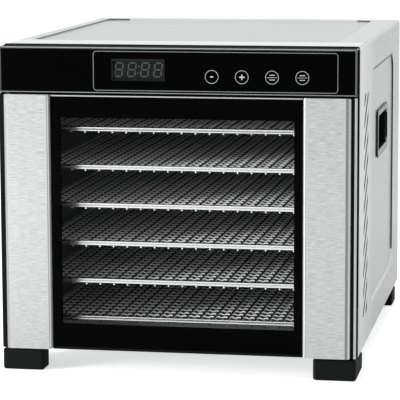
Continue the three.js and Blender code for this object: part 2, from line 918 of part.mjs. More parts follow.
panel = cut(
  panel,
  along("y", rounded(...neck_box(panel_wall)), front_y + panel_face, mouth_y + panel_neck + 1, 0, 1),
  along("y", rounded(...window_box(fit)), front_y - 1, front_y + window_thickness + fit, 0, 1),
  along("y", rectangle(...display_box(fit)), front_y - 1, front_y + panel_face + 1),
);
for (const x of [board_left + board_post + 1, board_right - board_post - 1]) {
  const post = disc(x, panel_middle, board_post);
  panel = join(panel, along("y", post, front_y + panel_face - 0.5, board_y - fit, 0, 4));
}
panel = cut(
  panel,
  along("z", rectangle(...upper_bracket_box(fit)), panel_bottom - 1, panel_bottom + panel_wall + 1),
  along(
    "z",
    rectangle(bracket_side - fit, bracket_side + bracket_width + fit, mouth_y, mouth_y + panel_neck + 1),
    panel_bottom - 1,
    panel_bottom + panel_wall + 1,
  ),
);
piece("control_panel", panel, gloss_black());
piece(
  "control_window",
  along("y", rounded(...window_box(0)), front_y, front_y + window_thickness, 0, 1),
  gloss_black(),
);
piece(
  "display_module",
  along("y", rectangle(...display_box(0)), front_y + window_thickness + fit, board_y - fit),
  satin_black(),
);
const board = rectangle(
  board_left,
  board_right,
  panel_middle - board_height / 2,
  panel_middle + board_height / 2,
);
piece("control_board", along("y", board, board_y, board_y + board_thickness), finish(0x1f5a34, 0.6, 0));

// ---- Door --------------------------------------------------------------------------------------

// Moulded core behind the glass, with a lip above and below it and a groove for the seal behind.
const core_half = bar_inner - fit;
const view_box = [
  -glass_half + view_side,
  glass_half - view_side,
  glass_low + view_end,
  glass_high - view_end,
  view_corner,
];
const seal_outer = [
  -chamber_half - seal_margin - seal_width,
  chamber_half + seal_margin + seal_width,
  chamber_low - seal_margin - seal_width,
  chamber_high + seal_margin + seal_width,
  seal_width,
];
const seal_band = (grow) =>
  ring(
    [
      seal_outer[0] - grow,
      seal_outer[1] + grow,
      seal_outer[2] - grow,
      seal_outer[3] + grow,
      seal_width + grow,
    ],
    [
      seal_outer[0] + seal_width + grow,
      seal_outer[1] - seal_width - grow,
      seal_outer[2] + seal_width + grow,
      seal_outer[3] - seal_width - grow,
      1,
    ],
  );
const core_outline = rectangle(-core_half, core_half, door_low, door_high);
core_outline.holes.push(rounded(...view_box, THREE.Path));
const core = cut(
  join(
    along("y", core_outline, core_front, door_back),
    along("y", rectangle(-glass_half, glass_half, glass_high + fit, door_high), front_y, core_front + 1),
    along("y", rectangle(-glass_half, glass_half, door_low, glass_low - fit), front_y, core_front + 1),
  ),
  along("y", seal_band(fit), door_back - seal_groove - fit, door_back + 1, 0, 1),
);
piece("door_frame", core, satin_black(), door);

const seal_rear = mouth_y - fit;
piece("door_seal", along("y", seal_band(0), seal_rear - seal_depth, seal_rear, 1.2, 1), rubber(), door);

const glass_outline = rounded(-glass_half, glass_half, glass_low, glass_high, 1.5);
piece("door_glass", along("y", glass_outline, front_y, glass_back), glass(), door);

// Steel cover plate with rounded upright edges, dished from behind.
const plate_profile = new THREE.Shape();
plate_profile.moveTo(plate_inner, glass_back);
plate_profile.lineTo(plate_inner, plate_y + plate_edge);
plate_profile.absarc(
  plate_inner + plate_edge,
  plate_y + plate_edge,
  plate_edge,
  Math.PI,
  1.5 * Math.PI,
);
plate_profile.absarc(
  plate_outer - plate_edge,
  plate_y + plate_edge,
  plate_edge,
  1.5 * Math.PI,
  2 * Math.PI,
);
plate_profile.lineTo(plate_outer, glass_back);
const plate_back = rounded(
  plate_inner + plate_skin,
  plate_outer - plate_skin,
  door_low + plate_skin,
  door_high - plate_skin,
  plate_edge,
);
const plate = cut(
  along("z", plate_profile, door_low, door_high, 0, 3).intersect(
    along("y", rounded(plate_inner, plate_outer, door_low, door_high, plate_corner), plate_y, glass_back),
  ),
  along("y", plate_back, plate_y + 2 * plate_skin, glass_back + 1),
);
const plate_right = piece("door_plate_right", plate, brushed(), door);
mirrored("door_plate_left", plate_right, door);

// Upright end moulding of the door: a lip beside the plate and a deeper body behind it.
const bar_profile = new THREE.Shape();
bar_profile.moveTo(bar_inner, door_back);
bar_profile.lineTo(bar_inner, core_front);
bar_profile.lineTo(plate_outer + fit, core_front);
bar_profile.lineTo(plate_outer + fit, front_y);
bar_profile.lineTo(half_width - front_chamfer, front_y);
bar_profile.lineTo(half_width, front_y + front_chamfer);
bar_profile.lineTo(half_width, door_back - bar_round);
bar_profile.absarc(half_width - bar_round, door_back - bar_round, bar_round, 0, Math.PI / 2);
const bar = along("z", bar_profile, door_low, door_high, 0, 2);

// The right one has the finger pull and a pocket for the magnet.
const pull_y = front_y + pull_lip + pull_width / 2;
const pull_half = (pull_length - pull_width) / 2;
const pull = along(
  "x",
  slot(pull_y, door_middle - pull_half, pull_y, door_middle + pull_half, pull_width),
  half_width - pull_depth,
  half_width + 1,
  0,
  3,
);
const magnet_x = bar_inner + 1 + magnet_width / 2;
const magnet_z = door_middle + pull_length / 2 + magnet_length / 2 + 2 * bar_round;
const magnet_box = (grow) => [
  magnet_x - magnet_width / 2 - grow,
  magnet_x + magnet_width / 2 + grow,
  magnet_z - magnet_length / 2 - grow,
  magnet_z + magnet_length / 2 + grow,
];
const magnet_rear = mouth_y - fit - strike_thickness - fit;
const magnet_front = door_back - 2 * strike_thickness;
piece(
  "door_edge_right",
  cut(bar, pull, along("y", rectangle(...magnet_box(fit)), magnet_front - fit, door_back + 1)),
  satin_black(),
  door,
);
piece(
  "door_magnet",
  along("y", rectangle(...magnet_box(0)), magnet_front, magnet_rear, 0.4),
  rubber(),
  door,
);
piece(
  "strike_plate",
  along("y", rectangle(...magnet_box(0.5)), mouth_y - fit - strike_thickness, mouth_y - fit),
  galvanised(),
);

// The left one has a bore at each end for the hinge pins.
const pin_hole = (low, high) => along("z", disc(hinge_x, hinge_y, pin_radius + fit), low, high, 0, 5);
const bar_left = cut(
  bar.mirror([1, 0, 0]),
  pin_hole(door_high - pin_reach - fit, door_high + 1),
  pin_hole(door_low - 1, door_low + pin_reach + fit),
);
piece("door_edge_left", bar_left, satin_black(), door);

// ---- Hinge -------------------------------------------------------------------------------------

// Brackets: one set in the floor of the control panel, one in the top of the front left foot.
const lower_top = foot_front_top;
const upper_box = upper_bracket_box(0);
const upper = cut(
  along("z", rounded(...upper_box, 1), panel_bottom, panel_bottom + bracket_thickness, 0, 1),
  pin_hole(panel_bottom - 1, panel_bottom + bracket_thickness + 1),
);
piece("hinge_bracket_upper", upper, galvanised());

const lower_box = (grow) => [
  bracket_side - grow,
  bracket_side + bracket_width + grow,
  bracket_front - grow,
  mouth_y - 2 * fit - foot_corner / 2 + grow,
];
const lower = cut(
  along("z", rounded(...lower_box(0), 1), lower_top - bracket_thickness, lower_top, 0, 1),
  pin_hole(lower_top - bracket_thickness - 1, lower_top + 1),
);
piece("hinge_bracket_lower", lower, galvanised());

const washer = cut(
  along("z", disc(hinge_x, hinge_y, washer_radius), lower_top + fit, door_low - fit, 0, 8),
  pin_hole(lower_top - 1, door_low + 1),
);
piece("hinge_washer", washer, galvanised());

const pin = (low, high) => along("z", disc(hinge_x, hinge_y, pin_radius), low, high, 0.5, 5);
piece("hinge_pin_upper", pin(door_high - pin_reach, panel_bottom + bracket_thickness), chromed(), door);
piece("hinge_pin_lower", pin(lower_top - bracket_thickness, door_low + pin_reach), chromed(), door);

// ---- Feet --------------------------------------------------------------------------------------

// Front feet reach ahead of the shell under the door and run back along its side.
const foot_top = bottom_z - fit;
const foot_inner = half_width - foot_width;
const front_pad = rounded(foot_inner, half_width, front_y, front_y + foot_front_depth, foot_corner);
const side_pad = rounded(
  half_width - foot_side_width,
  half_width,
  front_y,
  front_y + foot_side_length,
  foot_corner,
);
const front_foot = join(
  along("z", front_pad, 0, foot_front_top, foot_chamfer, 1),
  along("z", side_pad, 0, foot_top, foot_chamfer, 1),
).subtract(
  along(
    "z",
    rectangle(0, half_width + 1, mouth_y - fit, mouth_y + foot_side_length),
    foot_top,
    foot_front_top + 1,
  ),
);
const bracket_seat = along(
  "z",
  rectangle(...lower_box(fit)),
  lower_top - bracket_thickness - fit,
  lower_top + 1,
);
piece("foot_front_right", front_foot, rubber());
piece("foot_front_left", front_foot.mirror([1, 0, 0]).subtract(bracket_seat), rubber());

const rear_foot_outline = rounded(
  foot_inner,
  half_width - fit,
  rear_y - rear_foot_setback - rear_foot_length,
  rear_y - rear_foot_setback,
  foot_corner,
);
const rear_foot = piece("foot_rear_right", along("z", rear_foot_outline, 0, foot_top, foot_chamfer, 1), rubber());
mirrored("foot_rear_left", rear_foot);

export default root;
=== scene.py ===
# A six-tray food dehydrator: steel body, glass door, wire trays with woven mesh, and a fan behind.
import math

import bmesh
import bpy
from mathutils import Matrix, Vector


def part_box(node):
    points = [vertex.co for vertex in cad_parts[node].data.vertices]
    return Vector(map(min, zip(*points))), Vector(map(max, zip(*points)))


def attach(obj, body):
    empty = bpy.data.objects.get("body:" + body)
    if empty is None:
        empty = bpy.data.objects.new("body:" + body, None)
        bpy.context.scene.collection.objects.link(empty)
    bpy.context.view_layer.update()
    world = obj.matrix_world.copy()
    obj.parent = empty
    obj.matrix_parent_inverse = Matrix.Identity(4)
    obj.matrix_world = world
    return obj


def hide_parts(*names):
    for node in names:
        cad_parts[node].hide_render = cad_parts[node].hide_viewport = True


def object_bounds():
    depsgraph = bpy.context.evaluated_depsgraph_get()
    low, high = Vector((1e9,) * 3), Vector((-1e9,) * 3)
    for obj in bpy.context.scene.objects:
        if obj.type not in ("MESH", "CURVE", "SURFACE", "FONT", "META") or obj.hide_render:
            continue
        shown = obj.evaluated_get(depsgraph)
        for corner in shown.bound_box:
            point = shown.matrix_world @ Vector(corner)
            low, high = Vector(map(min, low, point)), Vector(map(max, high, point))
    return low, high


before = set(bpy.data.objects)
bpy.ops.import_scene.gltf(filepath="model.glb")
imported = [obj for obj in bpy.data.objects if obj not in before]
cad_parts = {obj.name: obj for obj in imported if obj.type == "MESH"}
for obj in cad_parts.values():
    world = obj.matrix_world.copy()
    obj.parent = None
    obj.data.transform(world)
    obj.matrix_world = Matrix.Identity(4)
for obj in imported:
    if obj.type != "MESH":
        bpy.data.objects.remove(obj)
cad_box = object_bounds()
mm = 0.001


# ---- Camera, floor and light -------------------------------------------------------------------
# A long lens in front of the right-hand corner, a little above the top. White paper below and a
# white room all round, with one soft lamp above and a stronger one in front on the left.
camera = bpy.data.objects.new("camera", bpy.data.cameras.new("camera"))
bpy.context.collection.objects.link(camera)
camera.data.sensor_width = 36
camera.data.lens = 191.8
camera.data.clip_start = 0.05
camera.data.clip_end = 60
camera_place, pan, dip, roll = (0.38421, -2.18772, 0.4623), 0.1815, 0.1449, -0.0038
camera.matrix_world = (
    Matrix.Translation(camera_place)
    @ Matrix.Rotation(pan, 4, "Z")
    @ Matrix.Rotation(math.pi / 2 - dip, 4, "X")
    @ Matrix.Rotation(roll, 4, "Z")
)
bpy.context.scene.camera = camera
bpy.context.scene.view_settings.view_transform = "Standard"


def linear(code):
    """An sRGB hex colour as linear red, green, blue and alpha."""
    parts = [int(code[i : i + 2], 16) / 255 for i in (1, 3, 5)]
    return [c / 12.92 if c <= 0.04045 else ((c + 0.055) / 1.055) ** 2.4 for c in parts] + [1]


def add(tree, kind, sockets=None, **settings):
    """A new node with its settings; each socket takes a value or another node's output."""
    made = tree.nodes.new(kind)
    for name, value in settings.items():
        setattr(made, name, value)
    for name, value in (sockets or {}).items():
        if isinstance(value, bpy.types.NodeSocket):
            tree.links.new(value, made.inputs[name])
        else:
            made.inputs[name].default_value = value
    return made


def new_material(name):
    """An empty material and its node tree."""
    made = bpy.data.materials.new(name)
    made.use_nodes = True
    made.node_tree.nodes.clear()
    return made, made.node_tree


# Matt white paper with a fine grain. It also glows faintly, so that it stays pure white round the
# body and only the deepest shadow below shows.
paper, tree = new_material("white_paper")
light_path = add(tree, "ShaderNodeLightPath")
seen = add(tree, "ShaderNodeMath", {0: light_path.outputs["Is Camera Ray"],
                                    1: light_path.outputs["Is Glossy Ray"]}, operation="MAXIMUM")
strength = add(tree, "ShaderNodeMath", {0: light_path.outputs["Is Camera Ray"], 1: 0.45,
                                        2: 0.15}, operation="MULTIPLY_ADD")
lit = add(tree, "ShaderNodeMath", {0: strength.outputs[0], 1: seen.outputs[0]},
          operation="MULTIPLY")
glow = add(tree, "ShaderNodeEmission", {"Color": (1, 1, 1, 1), "Strength": lit.outputs[0]})
grain = add(tree, "ShaderNodeTexNoise", {"Scale": 900.0, "Detail": 3.0})
tone = add(tree, "ShaderNodeMix", {"Factor": grain.outputs["Fac"], 6: linear("#F4F4F4"),
                                   7: linear("#FAFAFA")}, data_type="RGBA")
matt = add(tree, "ShaderNodeBsdfDiffuse", {"Color": tone.outputs[2]})
both = add(tree, "ShaderNodeAddShader", {0: matt.outputs[0], 1: glow.outputs[0]})
add(tree, "ShaderNodeOutputMaterial", {"Surface": both.outputs[0]})
reach = 9
corners = [(-reach, -reach, 0), (reach, -reach, 0), (reach, reach, 0), (-reach, reach, 0)]
floor_mesh = bpy.data.meshes.new("floor")
floor_mesh.from_pydata(corners, [], [(0, 1, 2, 3)])
floor_mesh.materials.append(paper)
floor = bpy.data.objects.new("floor", floor_mesh)
bpy.context.collection.objects.link(floor)
floor.location.z = cad_box[0].z - 0.5 * mm

# The room is plain white where it is seen or mirrored, and lights the body a little less.
world = bpy.data.worlds.new("studio")
bpy.context.scene.world = world
world.use_nodes = True
tree = world.node_tree
tree.nodes.clear()
light_path = add(tree, "ShaderNodeLightPath")
mirrored_ray = add(tree, "ShaderNodeMath", {0: light_path.outputs["Is Glossy Ray"],
                                            1: light_path.outputs["Is Transmission Ray"]},
                   operation="MAXIMUM")
seen = add(tree, "ShaderNodeMath", {0: light_path.outputs["Is Camera Ray"],
                                    1: mirrored_ray.outputs[0]}, operation="MAXIMUM")
level = add(tree, "ShaderNodeMapRange", {"Value": seen.outputs[0], "To Min": 0.65, "To Max": 1.0})
sky = add(tree, "ShaderNodeBackground", {"Color": (1, 1, 1, 1), "Strength": level.outputs[0]})
add(tree, "ShaderNodeOutputWorld", {"Surface": sky.outputs[0]})


def soft_lamp(name, place, target, width, height, power):
    """A rectangular softbox aimed at a point."""
    data = bpy.data.lights.new(name, "AREA")
    data.shape, data.size, data.size_y, data.energy = "RECTANGLE", width, height, power
    lamp = bpy.data.objects.new(name, data)
    bpy.context.collection.objects.link(lamp)
    aim = (Vector(target) - Vector(place)).to_track_quat("-Z", "Y")
    lamp.matrix_world = Matrix.Translation(place) @ aim.to_matrix().to_4x4()


soft_lamp("lamp_above", (-0.3, -0.5, 2.2), (0, 0, 0.15), 1.8, 1.4, 3)
soft_lamp("lamp_front", (-1.9, -1.5, 0.55), (0, -0.1, 0.15), 0.7, 0.7, 64)


# ---- Outer shell -------------------------------------------------------------------------------
# One sheet of 1.2 mm stainless steel bent over the top and both sides, with a pressed recess in
# each face and slanted vents. It is brushed from front to back before it is pressed and bent.
def brushed_steel(name, light, dark, rough, axis, scratch, spacing):
    """Brushed stainless steel: fine scratches along one axis, in long streaks of light and dark."""
    made, tree = new_material(name)
    place = add(tree, "ShaderNodeTexCoord").outputs["Object"]
    # Real scratches are 0.05 mm apart; they are drawn coarser, so that they show.
    stretch = [1 / (scratch if letter == axis else spacing) for letter in "xyz"]
    lines = add(tree, "ShaderNodeMapping", {"Vector": place, "Scale": stretch})
    fine = add(tree, "ShaderNodeTexNoise", {"Vector": lines.outputs[0], "Scale": 1.0, "Detail": 4.0,
                                            "Roughness": 0.6})
    broad = add(tree, "ShaderNodeTexNoise", {"Vector": place, "Scale": 14.0, "Detail": 2.0})
    streak = add(tree, "ShaderNodeMapRange", {"Value": fine.outputs["Fac"], "From Min": 0.3,
                                              "From Max": 0.7})
    colour = add(tree, "ShaderNodeMix", {"Factor": streak.outputs[0], 6: linear(dark),
                                         7: linear(light)}, data_type="RGBA")
    cloud = add(tree, "ShaderNodeMapRange", {"Value": broad.outputs["Fac"], "From Min": 0.35,
                                             "From Max": 0.75, "To Min": 0.0, "To Max": 0.35})
    toned = add(tree, "ShaderNodeMix", {"Factor": cloud.outputs[0], 6: colour.outputs[2],
                                        7: linear("#C9CBCB")}, data_type="RGBA")
    gloss = add(tree, "ShaderNodeMapRange", {"Value": fine.outputs["Fac"], "To Min": rough - 0.06,
                                             "To Max": rough + 0.06})
    bump = add(tree, "ShaderNodeBump", {"Height": fine.outputs["Fac"], "Strength": 0.12,
                                        "Distance": 0.2 * mm})
    steel = add(tree, "ShaderNodeBsdfPrincipled", {
        "Base Color": toned.outputs[2], "Metallic": 1.0, "Roughness": gloss.outputs[0],
        "Normal": bump.outputs[0]})
    add(tree, "ShaderNodeOutputMaterial", {"Surface": steel.outputs[0]})
    return made, tree, steel, place


def dress(names, material):
    """Gives CAD nodes their material."""
    for name in names:
        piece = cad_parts[name]
        if not piece.material_slots:
            piece.data.materials.append(material)
        for held in piece.material_slots:
            held.material = material


def patch(tree, *limits):
    """A mask that is 1 where each (value, low, high) lies within its limits, and 0 elsewhere."""
    mask = None
    for value, low, high in limits:
        inside = add(tree, "ShaderNodeMath", {0: value, 1: (low + high) / 2, 2: (high - low) / 2},
                     operation="COMPARE").outputs[0]
        mask = inside if mask is None else add(tree, "ShaderNodeMath", {0: mask, 1: inside},
                                               operation="MULTIPLY").outputs[0]
    return mask


def tint(tree, skin, mask, code, share=1.0):
    """Lays a second colour over a material's own, as strongly as the mask and the share say."""
    below = skin.inputs["Base Color"].links[0].from_socket
    weight = add(tree, "ShaderNodeMath", {0: mask, 1: share}, operation="MULTIPLY")
    laid = add(tree, "ShaderNodeMix", {"Factor": weight.outputs[0], 6: below, 7: linear(code)},
               data_type="RGBA")
    tree.links.new(laid.outputs[2], skin.inputs["Base Color"])


def split(tree, place):
    """The three coordinates of a place, and its distance sideways from the middle."""
    where = add(tree, "ShaderNodeSeparateXYZ", {"Vector": place})
    aside = add(tree, "ShaderNodeMath", {0: where.outputs["X"]}, operation="ABSOLUTE")
    return (*where.outputs, aside.outputs[0])


shell_steel, tree, skin, place = brushed_steel("stainless_steel_brushed_lengthwise", "#DADCDB",
                                               "#BABCBC", 0.34, "y", 30 * mm, 0.8 * mm)
x, y, z, aside = split(tree, place)
low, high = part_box("outer_shell")
# The walls of the pressed steps are painted dark as painted shade, which draws them as dark lines
# below each face.
step_top, step_foot, step_floor = 0.3 * mm, 1.9 * mm, 2.6 * mm
side_step_shade = patch(tree, (aside, high.x - step_foot, high.x - step_top),
                  (z, low.z + 50 * mm, high.z - 8 * mm))
tint(tree, skin, side_step_shade, "#343636")
recess_front, recess_rear = low.y + 55 * mm, high.y - 15 * mm
recess_left, recess_right = low.x + 13.5 * mm, high.x - 29.5 * mm
on_step = (z, high.z - step_foot, high.z - step_top)
top_step_shade = patch(tree, on_step, (x, recess_left - 7.5 * mm, recess_right + 0.5 * mm))
tint(tree, skin, top_step_shade, "#5A5C5C")
# The long rear run of the top step is painted pale grey and not metallic instead: a painted
# reflection.
rear_step_reflection = patch(tree, on_step, (x, recess_left + 24.5 * mm, recess_right - 16.5 * mm),
                 (y, recess_rear - 45 * mm, high.y))
tint(tree, skin, rear_step_reflection, "#C4C6C6")
metallic_mask = add(tree, "ShaderNodeMath", {0: 1.0, 1: rear_step_reflection}, operation="SUBTRACT")
tree.links.new(metallic_mask.outputs[0], skin.inputs["Metallic"])
# A dark line of painted shade runs along the upper edge of each side's recess, and the cut front
# edge of the sheet is painted dark as painted shade.
crease_end, field_top = 13 * mm, high.z - 32.5 * mm
field_front, field_rear = low.y + 111 * mm, low.y + 345 * mm
crease_shade = patch(tree, (z, field_top - 0.9 * mm, field_top + 2.0 * mm),
               (y, field_front + crease_end, field_rear - crease_end),
               (aside, high.x - 2.5 * mm, high.x + mm))
tint(tree, skin, crease_shade, "#303232")
front_edge_shade = patch(tree, (y, low.y - mm, low.y + 0.4 * mm),
                 (z, high.z - 1.6 * mm, high.z - 0.2 * mm))
tint(tree, skin, front_edge_shade, "#2A2C2C")
# Painted highlight: the rims in front of the recesses are painted paler.
on_top = (z, high.z - step_top, high.z + mm)
front_line = 5 * mm
tint(tree, skin, patch(tree, on_top, (y, low.y, recess_front - front_line)), "#E4E6E6")
# Painted shade: the floor of the top recess is painted a little darker.
tint(tree, skin, patch(tree, (z, high.z - step_floor, high.z - step_foot)), "#A4A6A6", 0.3)
# The front of each side is painted paler, fading towards the rear: a painted highlight.
fading = add(tree, "ShaderNodeMapRange", {"Value": y, "From Min": low.y + 30 * mm,
                                          "From Max": low.y + 150 * mm, "To Min": 1.0,
                                          "To Max": 0.0})
side_front_highlight = add(tree, "ShaderNodeMath", {0: patch(tree, (aside, high.x - step_top, high.x + mm)),
                                       1: fading.outputs[0]}, operation="MULTIPLY")
tint(tree, skin, side_front_highlight.outputs[0], "#E6E8E8")
# Fine grey lines of painted shade lie on the rim, along the front and the right of the top recess.
tint(tree, skin, patch(tree, on_top, (y, recess_front - front_line, recess_front + 0.4 * mm),
                       (x, recess_left + 10.5 * mm, recess_right - 10.5 * mm)), "#B2B4B4")
tint(tree, skin, patch(tree, on_top, (x, recess_right - 0.5 * mm, recess_right + 2 * mm),
                       (y, recess_front + 11 * mm, recess_rear - 11 * mm)), "#B8BABA")
# Each vent slot lies in a wider, darker slanting band of painted shade.
run, drop, pitch = 36.5 * mm, 29.4 * mm, 20.8 * mm
vent_rear, vent_top = low.y + 78.5 * mm, high.z - 49.5 * mm
sloped = add(tree, "ShaderNodeMath", {0: y, 1: -drop / run, 2: z}, operation="MULTIPLY_ADD")
from_top = add(tree, "ShaderNodeMath", {0: sloped.outputs[0], 1: vent_top - vent_rear * drop / run},
               operation="SUBTRACT")
apart = add(tree, "ShaderNodeMath", {0: from_top.outputs[0], 1: pitch / 2}, operation="PINGPONG")
vent_shade = patch(tree, (apart.outputs[0], -mm, 4.6 * mm), (y, vent_rear - run, vent_rear),
               (z, low.z + 32.5 * mm, vent_top), (aside, high.x - 1.3 * mm, high.x + mm))
tint(tree, skin, vent_shade, "#2A2C2C")
dress(["outer_shell"], shell_steel)


# ---- Base pan, rear panel and inner sheet metal --------------------------------------------------
# Galvanised sheet steel, bent up and screwed inside the shell. The motor, the bulkhead and the
# hinge brackets are made of the same sheet.
zinc, tree = new_material("galvanised_sheet_steel")
place = add(tree, "ShaderNodeTexCoord").outputs["Object"]
# Zinc crystals about 6 mm across catch the light at slightly different tones.
crystal = add(tree, "ShaderNodeTexVoronoi", {"Vector": place, "Scale": 160.0})
grain = add(tree, "ShaderNodeTexNoise", {"Vector": place, "Scale": 800.0, "Detail": 3.0})
flake = add(tree, "ShaderNodeSeparateColor", {"Color": crystal.outputs["Color"]})
mixed = add(tree, "ShaderNodeMix", {"Factor": 0.35, 2: flake.outputs[0], 3: grain.outputs["Fac"]})
colour = add(tree, "ShaderNodeMix", {"Factor": mixed.outputs[0], 6: linear("#ACB0B2"),
                                     7: linear("#BEC2C4")}, data_type="RGBA")
gloss = add(tree, "ShaderNodeMapRange", {"Value": mixed.outputs[0], "To Min": 0.34, "To Max": 0.52})
bump = add(tree, "ShaderNodeBump", {"Height": grain.outputs["Fac"], "Strength": 0.08,
                                    "Distance": 0.2 * mm})
skin = add(tree, "ShaderNodeBsdfPrincipled", {"Base Color": colour.outputs[2], "Metallic": 1.0,
                                              "Roughness": gloss.outputs[0],
                                              "Normal": bump.outputs[0]})
add(tree, "ShaderNodeOutputMaterial", {"Surface": skin.outputs[0]})
dress(["base_pan", "rear_panel", "bulkhead", "motor_bracket", "fan_motor", "hinge_bracket_upper",
       "hinge_bracket_lower", "hinge_washer", "heater_clip_left", "heater_clip_right"], zinc)


# ---- Feet --------------------------------------------------------------------------------------
# Four black rubber blocks screwed under the base pan; the front pair is notched round the corner
# below the door. The door seal and the cable gland are moulded from the same rubber.
def moulded(name, light, dark, rough, grit, depth, level=0.5):
    """A moulded or enamelled surface: an even grain of fine bumps."""
    made, tree = new_material(name)
    place = add(tree, "ShaderNodeTexCoord").outputs["Object"]
    pits = add(tree, "ShaderNodeTexNoise", {"Vector": place, "Scale": 1 / grit, "Detail": 3.0})
    broad = add(tree, "ShaderNodeTexNoise", {"Vector": place, "Scale": 22.0, "Detail": 2.0})
    mixed = add(tree, "ShaderNodeMix", {"Factor": 0.4, 2: broad.outputs["Fac"],
                                        3: pits.outputs["Fac"]})
    colour = add(tree, "ShaderNodeMix", {"Factor": mixed.outputs[0], 6: linear(dark),
                                         7: linear(light)}, data_type="RGBA")
    gloss = add(tree, "ShaderNodeMapRange", {"Value": mixed.outputs[0], "To Min": rough - 0.05,
                                             "To Max": rough + 0.07})
    bump = add(tree, "ShaderNodeBump", {"Height": pits.outputs["Fac"], "Strength": 0.25,
                                        "Distance": depth})
    skin = add(tree, "ShaderNodeBsdfPrincipled", {
        "Base Color": colour.outputs[2], "Roughness": gloss.outputs[0],
        "Specular IOR Level": level, "Normal": bump.outputs[0]})
    add(tree, "ShaderNodeOutputMaterial", {"Surface": skin.outputs[0]})
    return made


# Rubber: dull, with 0.8 mm moulding grain.
rubber = moulded("moulded_rubber", "#121313", "#0A0B0B", 0.62, 0.8 * mm, 0.15 * mm, 0.08)
dress(["foot_front_right", "foot_front_left", "foot_rear_right", "foot_rear_left", "door_seal",
       "cable_gland"], rubber)


# ---- Front frame and chamber ---------------------------------------------------------------------
# The drying chamber is a sheet liner, painted near black at its walls as painted shade and
# enamelled pale grey at its floor, behind a black frame moulded from ABS. The frame, the fan and
# the cutout share that plastic.
satin = moulded("satin_abs", "#1D1E1E", "#121313", 0.42, 0.6 * mm, 0.06 * mm, 0.35)
shade_black_sheet = moulded("sheet_painted_black_as_shade", "#202121", "#151616", 0.33, 2.5 * mm, 0.05 * mm, 0.4)
grey_enamel = moulded("grey_enamelled_sheet", "#DADCDC", "#CACCCC", 0.3, 2.5 * mm, 0.05 * mm, 0.4)
dress(["front_frame", "fan_impeller", "thermal_cutout"], satin)
dress(["chamber_wall_right", "chamber_wall_left", "chamber_ceiling", "air_baffle"], shade_black_sheet)
dress(["chamber_floor"], grey_enamel)


# ---- Shafts, heater and fittings -----------------------------------------------------------------
# Bright drawn stainless steel: the fan's shaft, the tube of the ring-shaped heater, the sensor, the
# hinge pins, and the strike plate with the magnet that holds the door shut.
def drawn_wire(name, dark, light, metallic, rough, scale=300.0):
    """Drawn steel: smooth, with faint lighter and darker lengths; rough is its (least, most)."""
    made, tree = new_material(name)
    place = add(tree, "ShaderNodeTexCoord").outputs["Object"]
    drawn = add(tree, "ShaderNodeTexNoise", {"Vector": place, "Scale": scale, "Detail": 2.0})
    colour = add(tree, "ShaderNodeMix", {"Factor": drawn.outputs["Fac"], 6: linear(dark),
                                         7: linear(light)}, data_type="RGBA")
    gloss = add(tree, "ShaderNodeMapRange", {"Value": drawn.outputs["Fac"], "To Min": rough[0],
                                             "To Max": rough[1]})
    skin = add(tree, "ShaderNodeBsdfPrincipled", {
        "Base Color": colour.outputs[2], "Metallic": metallic, "Roughness": gloss.outputs[0]})
    add(tree, "ShaderNodeOutputMaterial", {"Surface": skin.outputs[0]})
    return made


bright = drawn_wire("bright_stainless_wire", "#EEF0F0", "#FBFBFB", 1.0, (0.12, 0.3), 420.0)
dress(["fan_shaft", "heater_element", "temperature_sensor", "hinge_pin_upper", "hinge_pin_lower",
       "strike_plate", "door_magnet"], bright)


# ---- Hand grips ----------------------------------------------------------------------------------
# A black cup moulded from ABS sits in each side wall, behind a plated bezel that clips over its
# mouth. Where the bezel's outer rim is rolled in, it is painted darker as painted shade.
bezel, tree, skin, place = brushed_steel("satin_plated_bezel", "#A8AAAA", "#8E9090", 0.4, "y",
                                         10 * mm, 0.9 * mm)
low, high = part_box("grip_bezel_right")
x, y, z, aside = split(tree, place)
rolled_z, rolled_y = 1.3 * mm, 3.4 * mm
for value, edge, roll_width in ((z, low.z, rolled_z), (z, high.z, rolled_z), (y, low.y, rolled_y),
                                (y, high.y, rolled_y)):
    tint(tree, skin, patch(tree, (value, edge - roll_width, edge + roll_width)), "#3A3C3C")
# The rear limb dips into the shade of the cup.
limb, limb_end = 8 * mm, 11 * mm
tint(tree, skin, patch(tree, (y, high.y - limb, high.y),
                       (z, low.z + limb_end, high.z - limb_end)), "#161717")
dress(["grip_bezel_left", "grip_bezel_right"], bezel)
# The cups are painted darker than the other black ABS, as painted shade inside the grips.
cup_shade_black = moulded("matt_black_abs_with_painted_shade", "#080909", "#040505", 0.6, 0.6 * mm, 0.06 * mm, 0.08)
dress(["grip_cup_left", "grip_cup_right"], cup_shade_black)


# ---- Trays -------------------------------------------------------------------------------------
# Six trays: a rim of two welded round wires, with the ends of its rods showing below it. Inside the
# rim, plain drawn rods and crimped stainless wires cross above a mesh of thin wires.
wire, wire_step = 1.3 * mm, 2.5 * mm
rod, rod_pitch = 0.9 * mm, 13.6 * mm
corner = 5 * mm


def new_object(name, mesh, material):
    """A mesh as an object of the scene, with one material."""
    made = bpy.data.objects.new(name, mesh)
    bpy.context.collection.objects.link(made)
    made.data.materials.clear()
    made.data.materials.append(material)
    return made


def node_group(name, inputs):
    """An empty geometry tree with named inputs; gives the tree and its inputs' sockets."""
    tree = bpy.data.node_groups.new(name, "GeometryNodeTree")
    for label, kind in inputs.items():
        tree.interface.new_socket(label, in_out="INPUT", socket_type="NodeSocket" + kind)
    tree.interface.new_socket("Geometry", in_out="OUTPUT", socket_type="NodeSocketGeometry")
    return tree, tree.nodes.new("NodeGroupInput").outputs


def finish_group(tree, geometry, material):
    """Ends a geometry tree with real, coated geometry."""
    solid = add(tree, "GeometryNodeRealizeInstances", {"Geometry": geometry})
    coated = add(tree, "GeometryNodeSetMaterial", {"Geometry": solid.outputs[0],
                                                   "Material": material})
    add(tree, "NodeGroupOutput", {0: coated.outputs[0]})


